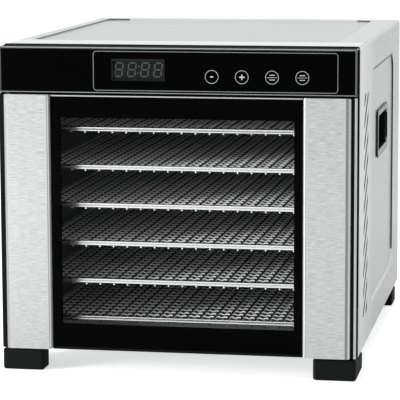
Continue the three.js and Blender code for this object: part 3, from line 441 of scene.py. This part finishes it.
def grow(name, tree, values, material):
    """Runs a geometry tree with its inputs set, and gives the result as one plain mesh."""
    base = bpy.data.objects.new("grown", bpy.data.meshes.new("grown"))
    bpy.context.collection.objects.link(base)
    held = base.modifiers.new("grown", "NODES")
    held.node_group = tree
    for item in tree.interface.items_tree:
        if item.in_out == "INPUT":
            held[item.identifier] = material if item.name == "Material" else values[item.name]
    ready = base.evaluated_get(bpy.context.evaluated_depsgraph_get())
    mesh = bpy.data.meshes.new_from_object(ready)
    bpy.data.objects.remove(base)
    return new_object(name, mesh, material)


def straight(tree, length, axis):
    """A straight path of the given length along an axis, centred on the origin."""
    half = add(tree, "ShaderNodeMath", {0: length, 1: 0.5}, operation="MULTIPLY")
    less = add(tree, "ShaderNodeMath", {0: length, 1: -0.5}, operation="MULTIPLY")
    start = add(tree, "ShaderNodeCombineXYZ", {axis: less.outputs[0]})
    end = add(tree, "ShaderNodeCombineXYZ", {axis: half.outputs[0]})
    return add(tree, "GeometryNodeCurvePrimitiveLine", {"Start": start.outputs[0],
                                                        "End": end.outputs[0]}).outputs[0]


def swept(tree, path, radius, sides):
    """A round bar swept along a path, with closed ends."""
    ring = add(tree, "GeometryNodeCurvePrimitiveCircle", {"Resolution": sides, "Radius": radius})
    return add(tree, "GeometryNodeCurveToMesh", {"Curve": path, "Profile Curve": ring.outputs[0],
                                                 "Fill Caps": True}).outputs[0]


def side_by_side(tree, shape, count, pitch, axis):
    """Copies of a shape at even steps along an axis, centred on the origin."""
    fewer = add(tree, "ShaderNodeMath", {0: count, 1: 1.0}, operation="SUBTRACT")
    spread = add(tree, "ShaderNodeMath", {0: fewer.outputs[0], 1: pitch}, operation="MULTIPLY")
    first = add(tree, "ShaderNodeMath", {0: spread.outputs[0], 1: -0.5}, operation="MULTIPLY")
    origin = add(tree, "ShaderNodeCombineXYZ", {axis: first.outputs[0]})
    step = add(tree, "ShaderNodeCombineXYZ", {axis: pitch})
    row = add(tree, "GeometryNodeMeshLine", {"Count": count, "Start Location": origin.outputs[0],
                                             "Offset": step.outputs[0]})
    return add(tree, "GeometryNodeInstanceOnPoints", {"Points": row.outputs[0],
                                                      "Instance": shape}).outputs[0]


# Parallel round rods along Y, side by side along X.
rods_tree, given = node_group("parallel_rods", {
    "Rods": "Int", "Pitch": "Float", "Length": "Float", "Radius": "Float", "Sides": "Int",
    "Material": "Material"})
one_rod = swept(rods_tree, straight(rods_tree, given["Length"], "Y"), given["Radius"],
                given["Sides"])
placed = side_by_side(rods_tree, one_rod, given["Rods"], given["Pitch"], "X")
finish_group(rods_tree, placed, given["Material"])

# Crimped wires along X, one behind the other: each waves up and down, lowest at each rod and
# halfway between two rods.
weave_tree, given = node_group("crimped_wires", {
    "Rows": "Int", "Pitch": "Float", "Width": "Float", "Wave": "Float", "Rise": "Float",
    "Radius": "Float", "Material": "Material"})
points_per_wave = 6.0
waves = add(weave_tree, "ShaderNodeMath", {0: given["Width"], 1: given["Wave"]},
            operation="DIVIDE")
points = add(weave_tree, "ShaderNodeMath", {0: waves.outputs[0], 1: points_per_wave},
             operation="MULTIPLY")
dense = add(weave_tree, "GeometryNodeResampleCurve", {
    "Curve": straight(weave_tree, given["Width"], "X"), "Count": points.outputs[0]})
where = add(weave_tree, "ShaderNodeSeparateXYZ",
            {"Vector": add(weave_tree, "GeometryNodeInputPosition").outputs[0]})
turns = add(weave_tree, "ShaderNodeMath", {0: where.outputs["X"], 1: given["Wave"]},
            operation="DIVIDE")
angle = add(weave_tree, "ShaderNodeMath", {0: turns.outputs[0], 1: 2 * math.pi,
                                           2: -math.pi / 2}, operation="MULTIPLY_ADD")
sine = add(weave_tree, "ShaderNodeMath", {0: angle.outputs[0]}, operation="SINE")
lift = add(weave_tree, "ShaderNodeMath", {0: sine.outputs[0], 1: given["Rise"]},
           operation="MULTIPLY")
up = add(weave_tree, "ShaderNodeCombineXYZ", {"Z": lift.outputs[0]})
waved = add(weave_tree, "GeometryNodeSetPosition", {"Geometry": dense.outputs[0],
                                                    "Offset": up.outputs[0]})
# The wire is rolled oval, upright, and leans back a little.
rolled = add(weave_tree, "GeometryNodeTransform", {
    "Geometry": swept(weave_tree, waved.outputs[0], given["Radius"], 8),
    "Rotation": (math.radians(-14), 0, 0), "Scale": (1, 0.6, 1)})
placed = side_by_side(weave_tree, rolled.outputs[0], given["Rows"], given["Pitch"], "Y")
finish_group(weave_tree, placed, given["Material"])

# The drawn rods are painted dark, as painted shade under the mesh, and the thin wires a little less
# dark, also painted shade. The crimped wires are painted nearly white, a painted highlight, so that
# their bends stand out.
rod_shade_steel = drawn_wire("rod_steel_with_painted_shade", "#141515", "#2A2B2B", 1.0, (0.42, 0.42))
thin_wire_shade_steel = drawn_wire("thin_wire_with_painted_shade", "#383A3A", "#4C4E4E", 0.6, (0.4, 0.4))
woven = drawn_wire("crimped_stainless_wire_with_painted_highlight", "#F0F1F1", "#FDFDFD", 0.15, (0.25, 0.25))


def rim_wire(name, low, high, z):
    """A closed round wire bent round the tray with rounded corners."""
    curve = bpy.data.curves.new(name, "CURVE")
    curve.dimensions = "3D"
    curve.bevel_depth, curve.bevel_resolution = wire, 3
    bend = corner - wire
    places = []
    for cx, cy, first in ((high.x, low.y, -90), (high.x, high.y, 0), (low.x, high.y, 90),
                          (low.x, low.y, 180)):
        mx = cx - math.copysign(corner, cx)
        my = cy + (corner if cy == low.y else -corner)
        turn = [math.radians(first + degrees) for degrees in range(0, 91, 15)]
        places += [(mx + bend * math.cos(a), my + bend * math.sin(a), z, 1) for a in turn]
    line = curve.splines.new("POLY")
    line.points.add(len(places) - 1)
    for point, at in zip(line.points, places):
        point.co = at
    line.use_cyclic_u = True
    shown = bpy.data.objects.new(name, curve)
    bpy.context.collection.objects.link(shown)
    ready = shown.evaluated_get(bpy.context.evaluated_depsgraph_get())
    mesh = bpy.data.meshes.new_from_object(ready)
    bpy.data.objects.remove(shown)
    return new_object(name, mesh, bright)


def join_pieces(name, pieces):
    """Joins plain mesh objects into the first one."""
    with bpy.context.temp_override(active_object=pieces[0], selected_editable_objects=pieces):
        bpy.ops.object.join()
    pieces[0].name = name
    return pieces[0]


def moved(piece, x, y, z):
    """Moves a piece's mesh, and gives the piece."""
    piece.data.transform(Matrix.Translation((x, y, z)))
    return piece


low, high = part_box("tray_frame_1")
middle_y = (low.y + high.y) / 2
length, width = high.y - low.y, high.x - low.x
rods = {"Rods": 2 * int((width / 2 - corner) / rod_pitch) + 1, "Pitch": rod_pitch, "Sides": 8}
# A real mesh has a wire every 1.5 mm or so. Its thin wires are drawn a little coarser and its
# crimped ones much coarser, so that the weave shows.
row_pitch, crimp_rise, crimped = 14.8 * mm, 0.6 * mm, 0.8 * mm
thin_pitch, thin = 2.65 * mm, 0.3 * mm
end_length, end_inset, end_level = 4.4 * mm, 2.6 * mm, 1.4 * mm
rod_level, weave_level, thin_level = 1.6 * mm, 1.3 * mm, 0.5 * mm
for i in range(1, 7):
    low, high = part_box("tray_frame_%d" % i)
    mesh_low, mesh_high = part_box("tray_mesh_%d" % i)
    mesh_width, mesh_length = mesh_high.x - mesh_low.x, mesh_high.y - mesh_low.y
    body = "tray_%d" % i
    rim = join_pieces("tray_rim_%d" % i, [
        rim_wire("upper", low, high, high.z - wire),
        rim_wire("lower", low, high, high.z - wire - wire_step)])
    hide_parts("tray_frame_%d" % i)
    long_rods = grow("tray_rods_%d" % i, rods_tree,
                     {**rods, "Length": length - 2 * wire, "Radius": rod}, rod_shade_steel)
    moved(long_rods, 0, middle_y, mesh_low.z + rod_level)
    # The cut ends of the rods are bright stainless, without the painted shade of the rods.
    short_rods = {**rods, "Length": end_length, "Radius": 0.9 * rod}
    ends = join_pieces("tray_rod_ends_%d" % i, [
        moved(grow(name, rods_tree, short_rods, bright), 0, y, low.z + end_level)
        for name, y in (("front", low.y + end_inset), ("rear", high.y - end_inset))])
    weave = grow("tray_weave_%d" % i, weave_tree, {
        "Rows": int(mesh_length / row_pitch), "Pitch": row_pitch, "Width": mesh_width,
        "Wave": rod_pitch / 2, "Rise": crimp_rise, "Radius": crimped}, woven)
    moved(weave, 0, middle_y, mesh_low.z + weave_level)
    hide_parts("tray_mesh_%d" % i)
    warp, shute = (grow("tray_%s_%d" % (name, i), rods_tree, {
        "Rods": int(across / thin_pitch), "Pitch": thin_pitch, "Length": along, "Radius": thin,
        "Sides": 4}, thin_wire_shade_steel) for name, across, along in (
            ("warp", mesh_width, mesh_length), ("shute", mesh_length, mesh_width)))
    shute.data.transform(Matrix.Rotation(math.pi / 2, 4, "Z"))
    for layer in (warp, shute):
        moved(layer, 0, middle_y, mesh_low.z + thin_level)
    for piece in (rim, long_rods, ends):
        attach(piece, body)
    for piece in (weave, warp, shute):
        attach(piece, body)


# ---- Control panel -------------------------------------------------------------------------------
# A gloss black ABS moulding clipped into the mouth of the shell above the door. Its top edge is
# rounded, and painted highlights in paler grey run along it, along its foot and down its ends.
def gloss_black(name, light, dark, rough):
    """Gloss black plastic: an even, nearly mirror-smooth skin with faint dust and flow marks."""
    made, tree = new_material(name)
    place = add(tree, "ShaderNodeTexCoord").outputs["Object"]
    flow = add(tree, "ShaderNodeTexNoise", {"Vector": place, "Scale": 30.0, "Detail": 4.0})
    dust = add(tree, "ShaderNodeTexNoise", {"Vector": place, "Scale": 1200.0, "Detail": 1.0})
    colour = add(tree, "ShaderNodeMix", {"Factor": flow.outputs["Fac"], 6: linear(dark),
                                         7: linear(light)}, data_type="RGBA")
    gloss = add(tree, "ShaderNodeMapRange", {"Value": dust.outputs["Fac"], "To Min": rough,
                                             "To Max": rough + 0.08})
    skin = add(tree, "ShaderNodeBsdfPrincipled", {
        "Base Color": colour.outputs[2], "Roughness": gloss.outputs[0],
        "Specular IOR Level": 0.018})
    add(tree, "ShaderNodeOutputMaterial", {"Surface": skin.outputs[0]})
    return made, tree, skin, place


def cover(tree, mask, under, top):
    """Makes one shader the material's surface where the mask is 1, and another elsewhere."""
    whole = add(tree, "ShaderNodeMixShader", {0: mask, 1: under.outputs[0], 2: top.outputs[0]})
    ending = [n for n in tree.nodes if n.type == "OUTPUT_MATERIAL"][0]
    tree.links.new(whole.outputs[0], ending.inputs["Surface"])


piano_black, tree, skin, place = gloss_black("gloss_moulded_abs", "#040404", "#020202", 0.06)
low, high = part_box("control_panel")
x, y, z, aside = split(tree, place)
# Painted highlights: bands of paler grey along the top edge, the foot and both ends.
for limits, code in (
        ((z, high.z - 2.0 * mm, high.z - 1.1 * mm), "#3A3C3C"),
        ((z, high.z - 1.1 * mm, high.z - 0.3 * mm), "#A0A2A2"),
        ((x, -high.x + 2.0 * mm, -high.x + 3.0 * mm), "#4A4C4C"),
        ((z, low.z + 1.1 * mm, low.z + 2.0 * mm), "#8A8C8C"),
        ((x, high.x - 2.0 * mm, high.x - 0.4 * mm), "#767878")):
    tint(tree, skin, patch(tree, limits), code)
# Its top and its ends are left matt from the mould; the top is painted a paler grey than the ends,
# a painted reflection.
at_end = patch(tree, (aside, high.x - 0.4 * mm, high.x + mm))
at_top = patch(tree, (z, high.z - 0.1 * mm, high.z + mm))
matt_tone = add(tree, "ShaderNodeMix", {"Factor": at_top, 6: linear("#1A1B1B"),
                                        7: linear("#3C3E3E")}, data_type="RGBA")
matt = add(tree, "ShaderNodeBsdfDiffuse", {"Color": matt_tone.outputs[2]})
either = add(tree, "ShaderNodeMath", {0: at_end, 1: at_top}, operation="MAXIMUM")
cover(tree, either.outputs[0], skin, matt)
dress(["control_panel"], piano_black)


# ---- Display and touch keys ----------------------------------------------------------------------
# A window of smoked acrylic, glued into the moulding and printed black behind, with a hairline
# frame. It is clear in front of the display, whose digits are unlit.
acrylic, tree, skin, place = gloss_black("smoked_acrylic", "#030303", "#020202", 0.04)
low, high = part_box("control_window")
centre, half = (low + high) / 2, (high - low) / 2
bend, line_inset, line_half = 3.0 * mm, 1.0 * mm, 0.3 * mm
from_centre = add(tree, "ShaderNodeVectorMath", {0: place, 1: centre}, operation="SUBTRACT")
flat = add(tree, "ShaderNodeVectorMath", {0: from_centre.outputs[0], 1: (1, 0, 1)},
           operation="MULTIPLY")
folded = add(tree, "ShaderNodeVectorMath", {0: flat.outputs[0]}, operation="ABSOLUTE")
straight_part = (half.x - line_inset - bend, 0, half.z - line_inset - bend)
beyond = add(tree, "ShaderNodeVectorMath", {0: folded.outputs[0], 1: straight_part},
             operation="SUBTRACT")
outside = add(tree, "ShaderNodeVectorMath", {0: beyond.outputs[0], 1: (0, 0, 0)},
              operation="MAXIMUM")
from_bend = add(tree, "ShaderNodeVectorMath", {0: outside.outputs[0]}, operation="LENGTH")
hairline = patch(tree, (from_bend.outputs["Value"], bend - line_half, bend + line_half))
tint(tree, skin, hairline, "#7C7E7E")
low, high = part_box("display_module")
x, y, z, aside = split(tree, place)
clear = patch(tree, (x, low.x + 2.4 * mm, high.x), (z, low.z + 0.3 * mm, high.z))
clear_acrylic = add(tree, "ShaderNodeBsdfTransparent", {"Color": linear("#F4F4F4")})
cover(tree, clear, skin, clear_acrylic)
tint(tree, skin, patch(tree, (x, low.x + 1.4 * mm, high.x + mm), (z, low.z, high.z + 2.2 * mm)),
     "#202221")
dress(["control_window"], acrylic)
display_filter = moulded("display_filter", "#1D1F1E", "#161817", 0.5, 0.5 * mm, 0.02 * mm, 0.1)
dress(["display_module"], display_filter)


def blocks(name, boxes, material, slant=0.0):
    """One mesh of upright boxes, each (x, z, width, height) in mm, 0.3 mm thick about y = 0."""
    shape = bmesh.new()
    for x, z, width, height in boxes:
        size = Matrix.Diagonal((width * mm, 0.3 * mm, height * mm, 1))
        bmesh.ops.create_cube(shape, size=1, matrix=Matrix.Translation((x * mm, 0, z * mm)) @ size)
    for point in shape.verts:
        point.co.x += slant * point.co.z
    mesh = bpy.data.meshes.new(name)
    shape.to_mesh(mesh)
    shape.free()
    return new_object(name, mesh, material)


# Copies of another object at even steps.
row_tree, given = node_group("repeat_in_a_row", {
    "Piece": "Object", "Count": "Int", "Start": "Vector", "Step": "Vector",
    "Material": "Material"})
single = add(row_tree, "GeometryNodeObjectInfo", {"Object": given["Piece"]})
row = add(row_tree, "GeometryNodeMeshLine", {"Count": given["Count"],
                                             "Start Location": given["Start"],
                                             "Offset": given["Step"]})
placed = add(row_tree, "GeometryNodeInstanceOnPoints", {"Points": row.outputs[0],
                                                        "Instance": single.outputs["Geometry"]})
finish_group(row_tree, placed.outputs[0], given["Material"])


def repeat(name, piece, count, start, step, material):
    """Repeats a shape at even steps and removes the single one."""
    row = grow(name, row_tree, {"Piece": piece, "Count": count, "Start": start, "Step": step},
               material)
    bpy.data.objects.remove(piece)
    return row


def print_ink(name, code):
    """Screen-printed ink: flat, with a slight uneven cover."""
    made, tree = new_material(name)
    place = add(tree, "ShaderNodeTexCoord").outputs["Object"]
    cloud = add(tree, "ShaderNodeTexNoise", {"Vector": place, "Scale": 1500.0, "Detail": 2.0})
    pale = add(tree, "ShaderNodeMapRange", {"Value": cloud.outputs["Fac"], "To Min": 0.85,
                                            "To Max": 1.1})
    colour = add(tree, "ShaderNodeVectorMath", {0: linear(code)[:3], "Scale": pale.outputs[0]},
                 operation="SCALE")
    skin = add(tree, "ShaderNodeBsdfPrincipled", {"Base Color": colour.outputs[0],
                                                  "Roughness": 0.5, "Specular IOR Level": 0.2})
    add(tree, "ShaderNodeOutputMaterial", {"Surface": skin.outputs[0]})
    return made


# Four slightly leaning digits of seven unlit bars each, and a colon.
unlit = print_ink("unlit_display_bars", "#525655")
bar, bar_wide, bar_high = 1.3, 5.2, 5.0
bars = [(0, s * 6.4, bar_wide, bar) for s in (-1, 0, 1)]
bars += [(s * 3.5, t * 3.2, bar, bar_high) for s in (-1, 1) for t in (-1, 1)]
digit_pitch = 12.6 * mm
digits = repeat("display_digits", blocks("digit", bars, unlit, 0.14), 4, (0, 0, 0),
                (digit_pitch, 0, 0), unlit)
colon = blocks("display_colon", [(0.4, 3.0, bar, bar), (-0.4, -3.0, bar, bar)], unlit)
digit_height = (low.z + high.z) / 2 + 1.2 * mm
moved(digits, low.x + 8.1 * mm, low.y, digit_height)
moved(colon, low.x + 27.0 * mm, low.y, digit_height)
for piece in (digits, colon):
    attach(piece, "housing")

# Four touch keys in printed rings: minus, plus, and on two of them a line between rows of dashes.
ink = print_ink("grey_printed_ink", "#B4B6B6")
key_pitch, ring_radius, ring_half = 28.6 * mm, 6.15 * mm, 0.26 * mm
low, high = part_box("control_window")
first_key = Vector((high.x - 120 * mm, low.y, (low.z + high.z) / 2 - 4.6 * mm))
bpy.ops.mesh.primitive_torus_add(major_segments=40, minor_segments=4, major_radius=ring_radius,
                                 minor_radius=ring_half, rotation=(math.pi / 2, 0, 0))
ring = bpy.context.object
ring.data.transform(ring.matrix_basis)
ring.matrix_basis = Matrix.Identity(4)
rings = repeat("key_rings", ring, 4, first_key, (key_pitch, 0, 0), ink)
dashes = [(x, z, 1.1, 0.75) for z in (2.2, -2.2) for x in (-1.9, -0.6, 0.7, 2.0)]
dashes += [(0, 0, 9.6, 0.35)]
plus = [(0, 0, 5.0, 1.2), (0, 1.55, 1.2, 1.9), (0, -1.55, 1.2, 1.9)]
signs = [blocks("key_minus", [(0, 0, 2.9, 1.1)], ink), blocks("key_plus", plus, ink),
         blocks("key_mode", dashes, ink), blocks("key_start", dashes, ink)]
for i, sign in enumerate(signs):
    moved(sign, first_key.x + i * key_pitch, first_key.y, first_key.z)
for piece in [rings, *signs]:
    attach(piece, "housing")

# The circuit board behind the window has a green lacquer over its copper.
board_green = moulded("lacquered_circuit_board", "#1C5A34", "#14482A", 0.35, 1.2 * mm, 0.05 * mm)
dress(["control_board"], board_green)


# ---- Door plates and edges -----------------------------------------------------------------------
# Two plates of stainless steel, brushed from side to side, beside the glass. The inner edge of each
# is rolled back, painted darker and not metallic as painted shade, with a painted highlight along
# its crest. On the right one a darker band of painted shade marks a shallow groove by the finger
# pull, and the outer end of the left one is painted darker and not metallic, as painted shade.
plate_steel, tree, skin, place = brushed_steel("stainless_steel_brushed_across", "#DADCDB",
                                               "#A8AAA9", 0.28, "x", 9 * mm, 0.55 * mm)
low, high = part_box("door_plate_right")
x, y, z, aside = split(tree, place)
# Painted shade on the rolled edges, with a painted highlight on their crests.
rolled = patch(tree, (aside, low.x - mm, low.x + 3.2 * mm))
tint(tree, skin, rolled, "#8E9090")
tint(tree, skin, patch(tree, (aside, low.x + 1.3 * mm, low.x + 2.2 * mm)), "#DADCDC")
tint(tree, skin, patch(tree, (x, high.x - 5.0 * mm, high.x - 2.5 * mm)), "#848686")
outer_end_shade = patch(tree, (x, -high.x - mm, -high.x + 3.2 * mm))
tint(tree, skin, outer_end_shade, "#8A8C8C")
painted_edges = add(tree, "ShaderNodeMath", {0: rolled, 1: outer_end_shade}, operation="MAXIMUM")
metallic_mask = add(tree, "ShaderNodeMath", {0: 1.0, 1: painted_edges.outputs[0]}, operation="SUBTRACT")
tree.links.new(metallic_mask.outputs[0], skin.inputs["Metallic"])
dress(["door_plate_right", "door_plate_left"], plate_steel)

dull = moulded("dull_black_abs", "#1B1C1C", "#131414", 0.6, 0.6 * mm, 0.06 * mm, 0.0)


def painted_highlight_moulding(name, limits, code):
    """The dull black moulding, painted bright and metallic inside the limits of (axis, low, high):
    a painted highlight.
    """
    made = dull.copy()
    made.name = name
    tree = made.node_tree
    skin = [n for n in tree.nodes if n.type == "BSDF_PRINCIPLED"][0]
    place = add(tree, "ShaderNodeTexCoord").outputs["Object"]
    where = add(tree, "ShaderNodeSeparateXYZ", {"Vector": place})
    mask = patch(tree, *((where.outputs[axis], low, high) for axis, low, high in limits))
    tint(tree, skin, mask, code)
    tree.links.new(mask, skin.inputs["Metallic"])
    return made


# The free edge of the door is capped in black, with a painted highlight, bright and metallic, down
# its outer corner, and a painted highlight line lies along the top of the door frame, above the
# pane.
low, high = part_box("door_edge_right")
dress(["door_edge_right"], painted_highlight_moulding("satin_abs_with_bright_corner", [
    ("X", high.x - 2.2 * mm, high.x), ("Y", low.y - mm, low.y + 1.8 * mm)], "#C6C8C8"))
dress(["door_edge_left"], dull)
low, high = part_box("door_frame")
dress(["door_frame"], painted_highlight_moulding("satin_abs_with_bright_bead", [
    ("Z", high.z - 1.6 * mm, high.z - 0.4 * mm), ("Y", low.y - mm, low.y + 2 * mm)], "#A6A8A8"))


# ---- Door glass ----------------------------------------------------------------------------------
# A pane of toughened glass glued to the door frame, with a black border printed behind it. The pane
# is clear inside the border, with a faint reflection.
glass, tree = new_material("toughened_glass_with_printed_border")
low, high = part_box("door_glass")
border_side, border_foot, border_head = 8.2 * mm, 22.2 * mm, 20.0 * mm
x, y, z, aside = split(tree, add(tree, "ShaderNodeTexCoord").outputs["Object"])
clear = patch(tree, (x, low.x + border_side, high.x - border_side),
              (z, low.z + border_foot, high.z - border_head))
smear = add(tree, "ShaderNodeTexNoise", {"Scale": 18.0, "Detail": 3.0})
print_colour = add(tree, "ShaderNodeMix", {"Factor": smear.outputs["Fac"], 6: linear("#020202"),
                                           7: linear("#040404")}, data_type="RGBA")
border = add(tree, "ShaderNodeBsdfPrincipled", {"Base Color": print_colour.outputs[2],
                                                "Roughness": 0.05, "Specular IOR Level": 0.018})
through = add(tree, "ShaderNodeBsdfTransparent", {"Color": linear("#FEFEFE")})
shine = add(tree, "ShaderNodeBsdfGlossy", {"Color": (1, 1, 1, 1), "Roughness": 0.03})
slope = add(tree, "ShaderNodeFresnel", {"IOR": 1.1})
pane = add(tree, "ShaderNodeMixShader", {0: slope.outputs[0], 1: through.outputs[0],
                                         2: shine.outputs[0]})
whole = add(tree, "ShaderNodeMixShader", {0: clear, 1: border.outputs[0], 2: pane.outputs[0]})
add(tree, "ShaderNodeOutputMaterial", {"Surface": whole.outputs[0]})
dress(["door_glass"], glass)


# ---- Screws --------------------------------------------------------------------------------------
# Low round-headed steel screws with a socket hold the rear panel and the base pan: a column of four
# at each side of the panel, and a row of three at each side of the pan.
def turned(name, profile, sides, material):
    """A closed body turned about the Y axis from (radius, height) points in mm."""
    shape = bmesh.new()
    rings = [[shape.verts.new((r * mm * math.cos(a), h * mm, r * mm * math.sin(a)))
              for a in (2 * math.pi * k / sides for k in range(sides))] for r, h in profile]
    for inner, outer in zip(rings, rings[1:]):
        for k in range(sides):
            shape.faces.new((inner[k], inner[k - 1], outer[k - 1], outer[k]))
    shape.faces.new(rings[0])
    shape.faces.new(rings[-1])
    bmesh.ops.recalc_face_normals(shape, faces=shape.faces)
    mesh = bpy.data.meshes.new(name)
    shape.to_mesh(mesh)
    shape.free()
    return new_object(name, mesh, material)


head = [(1.4, 0.1), (1.5, 1.1), (2.4, 1.1), (3.1, 0.7), (3.3, -0.2)]
panel_inset, panel_margin, pan_inset, pan_margin = 8 * mm, 16 * mm, 62 * mm, 40 * mm
low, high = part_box("rear_panel")
gap = (high.z - low.z - 2 * panel_margin) / 3
for side, x in (("left", low.x + panel_inset), ("right", high.x - panel_inset)):
    column = repeat("rear_screws_" + side, turned("screw", head, 14, bright), 4,
                    (x, high.y, low.z + panel_margin), (0, 0, gap), bright)
    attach(column, "housing")
low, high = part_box("base_pan")
gap = (high.y - low.y - 2 * pan_margin) / 2
for side, x in (("left", low.x + pan_inset), ("right", high.x - pan_inset)):
    screw = turned("screw", head, 14, bright)
    screw.data.transform(Matrix.Rotation(-math.pi / 2, 4, "X"))
    row = repeat("base_screws_" + side, screw, 3, (x, low.y + pan_margin, low.z), (0, gap, 0),
                 bright)
    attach(row, "housing")
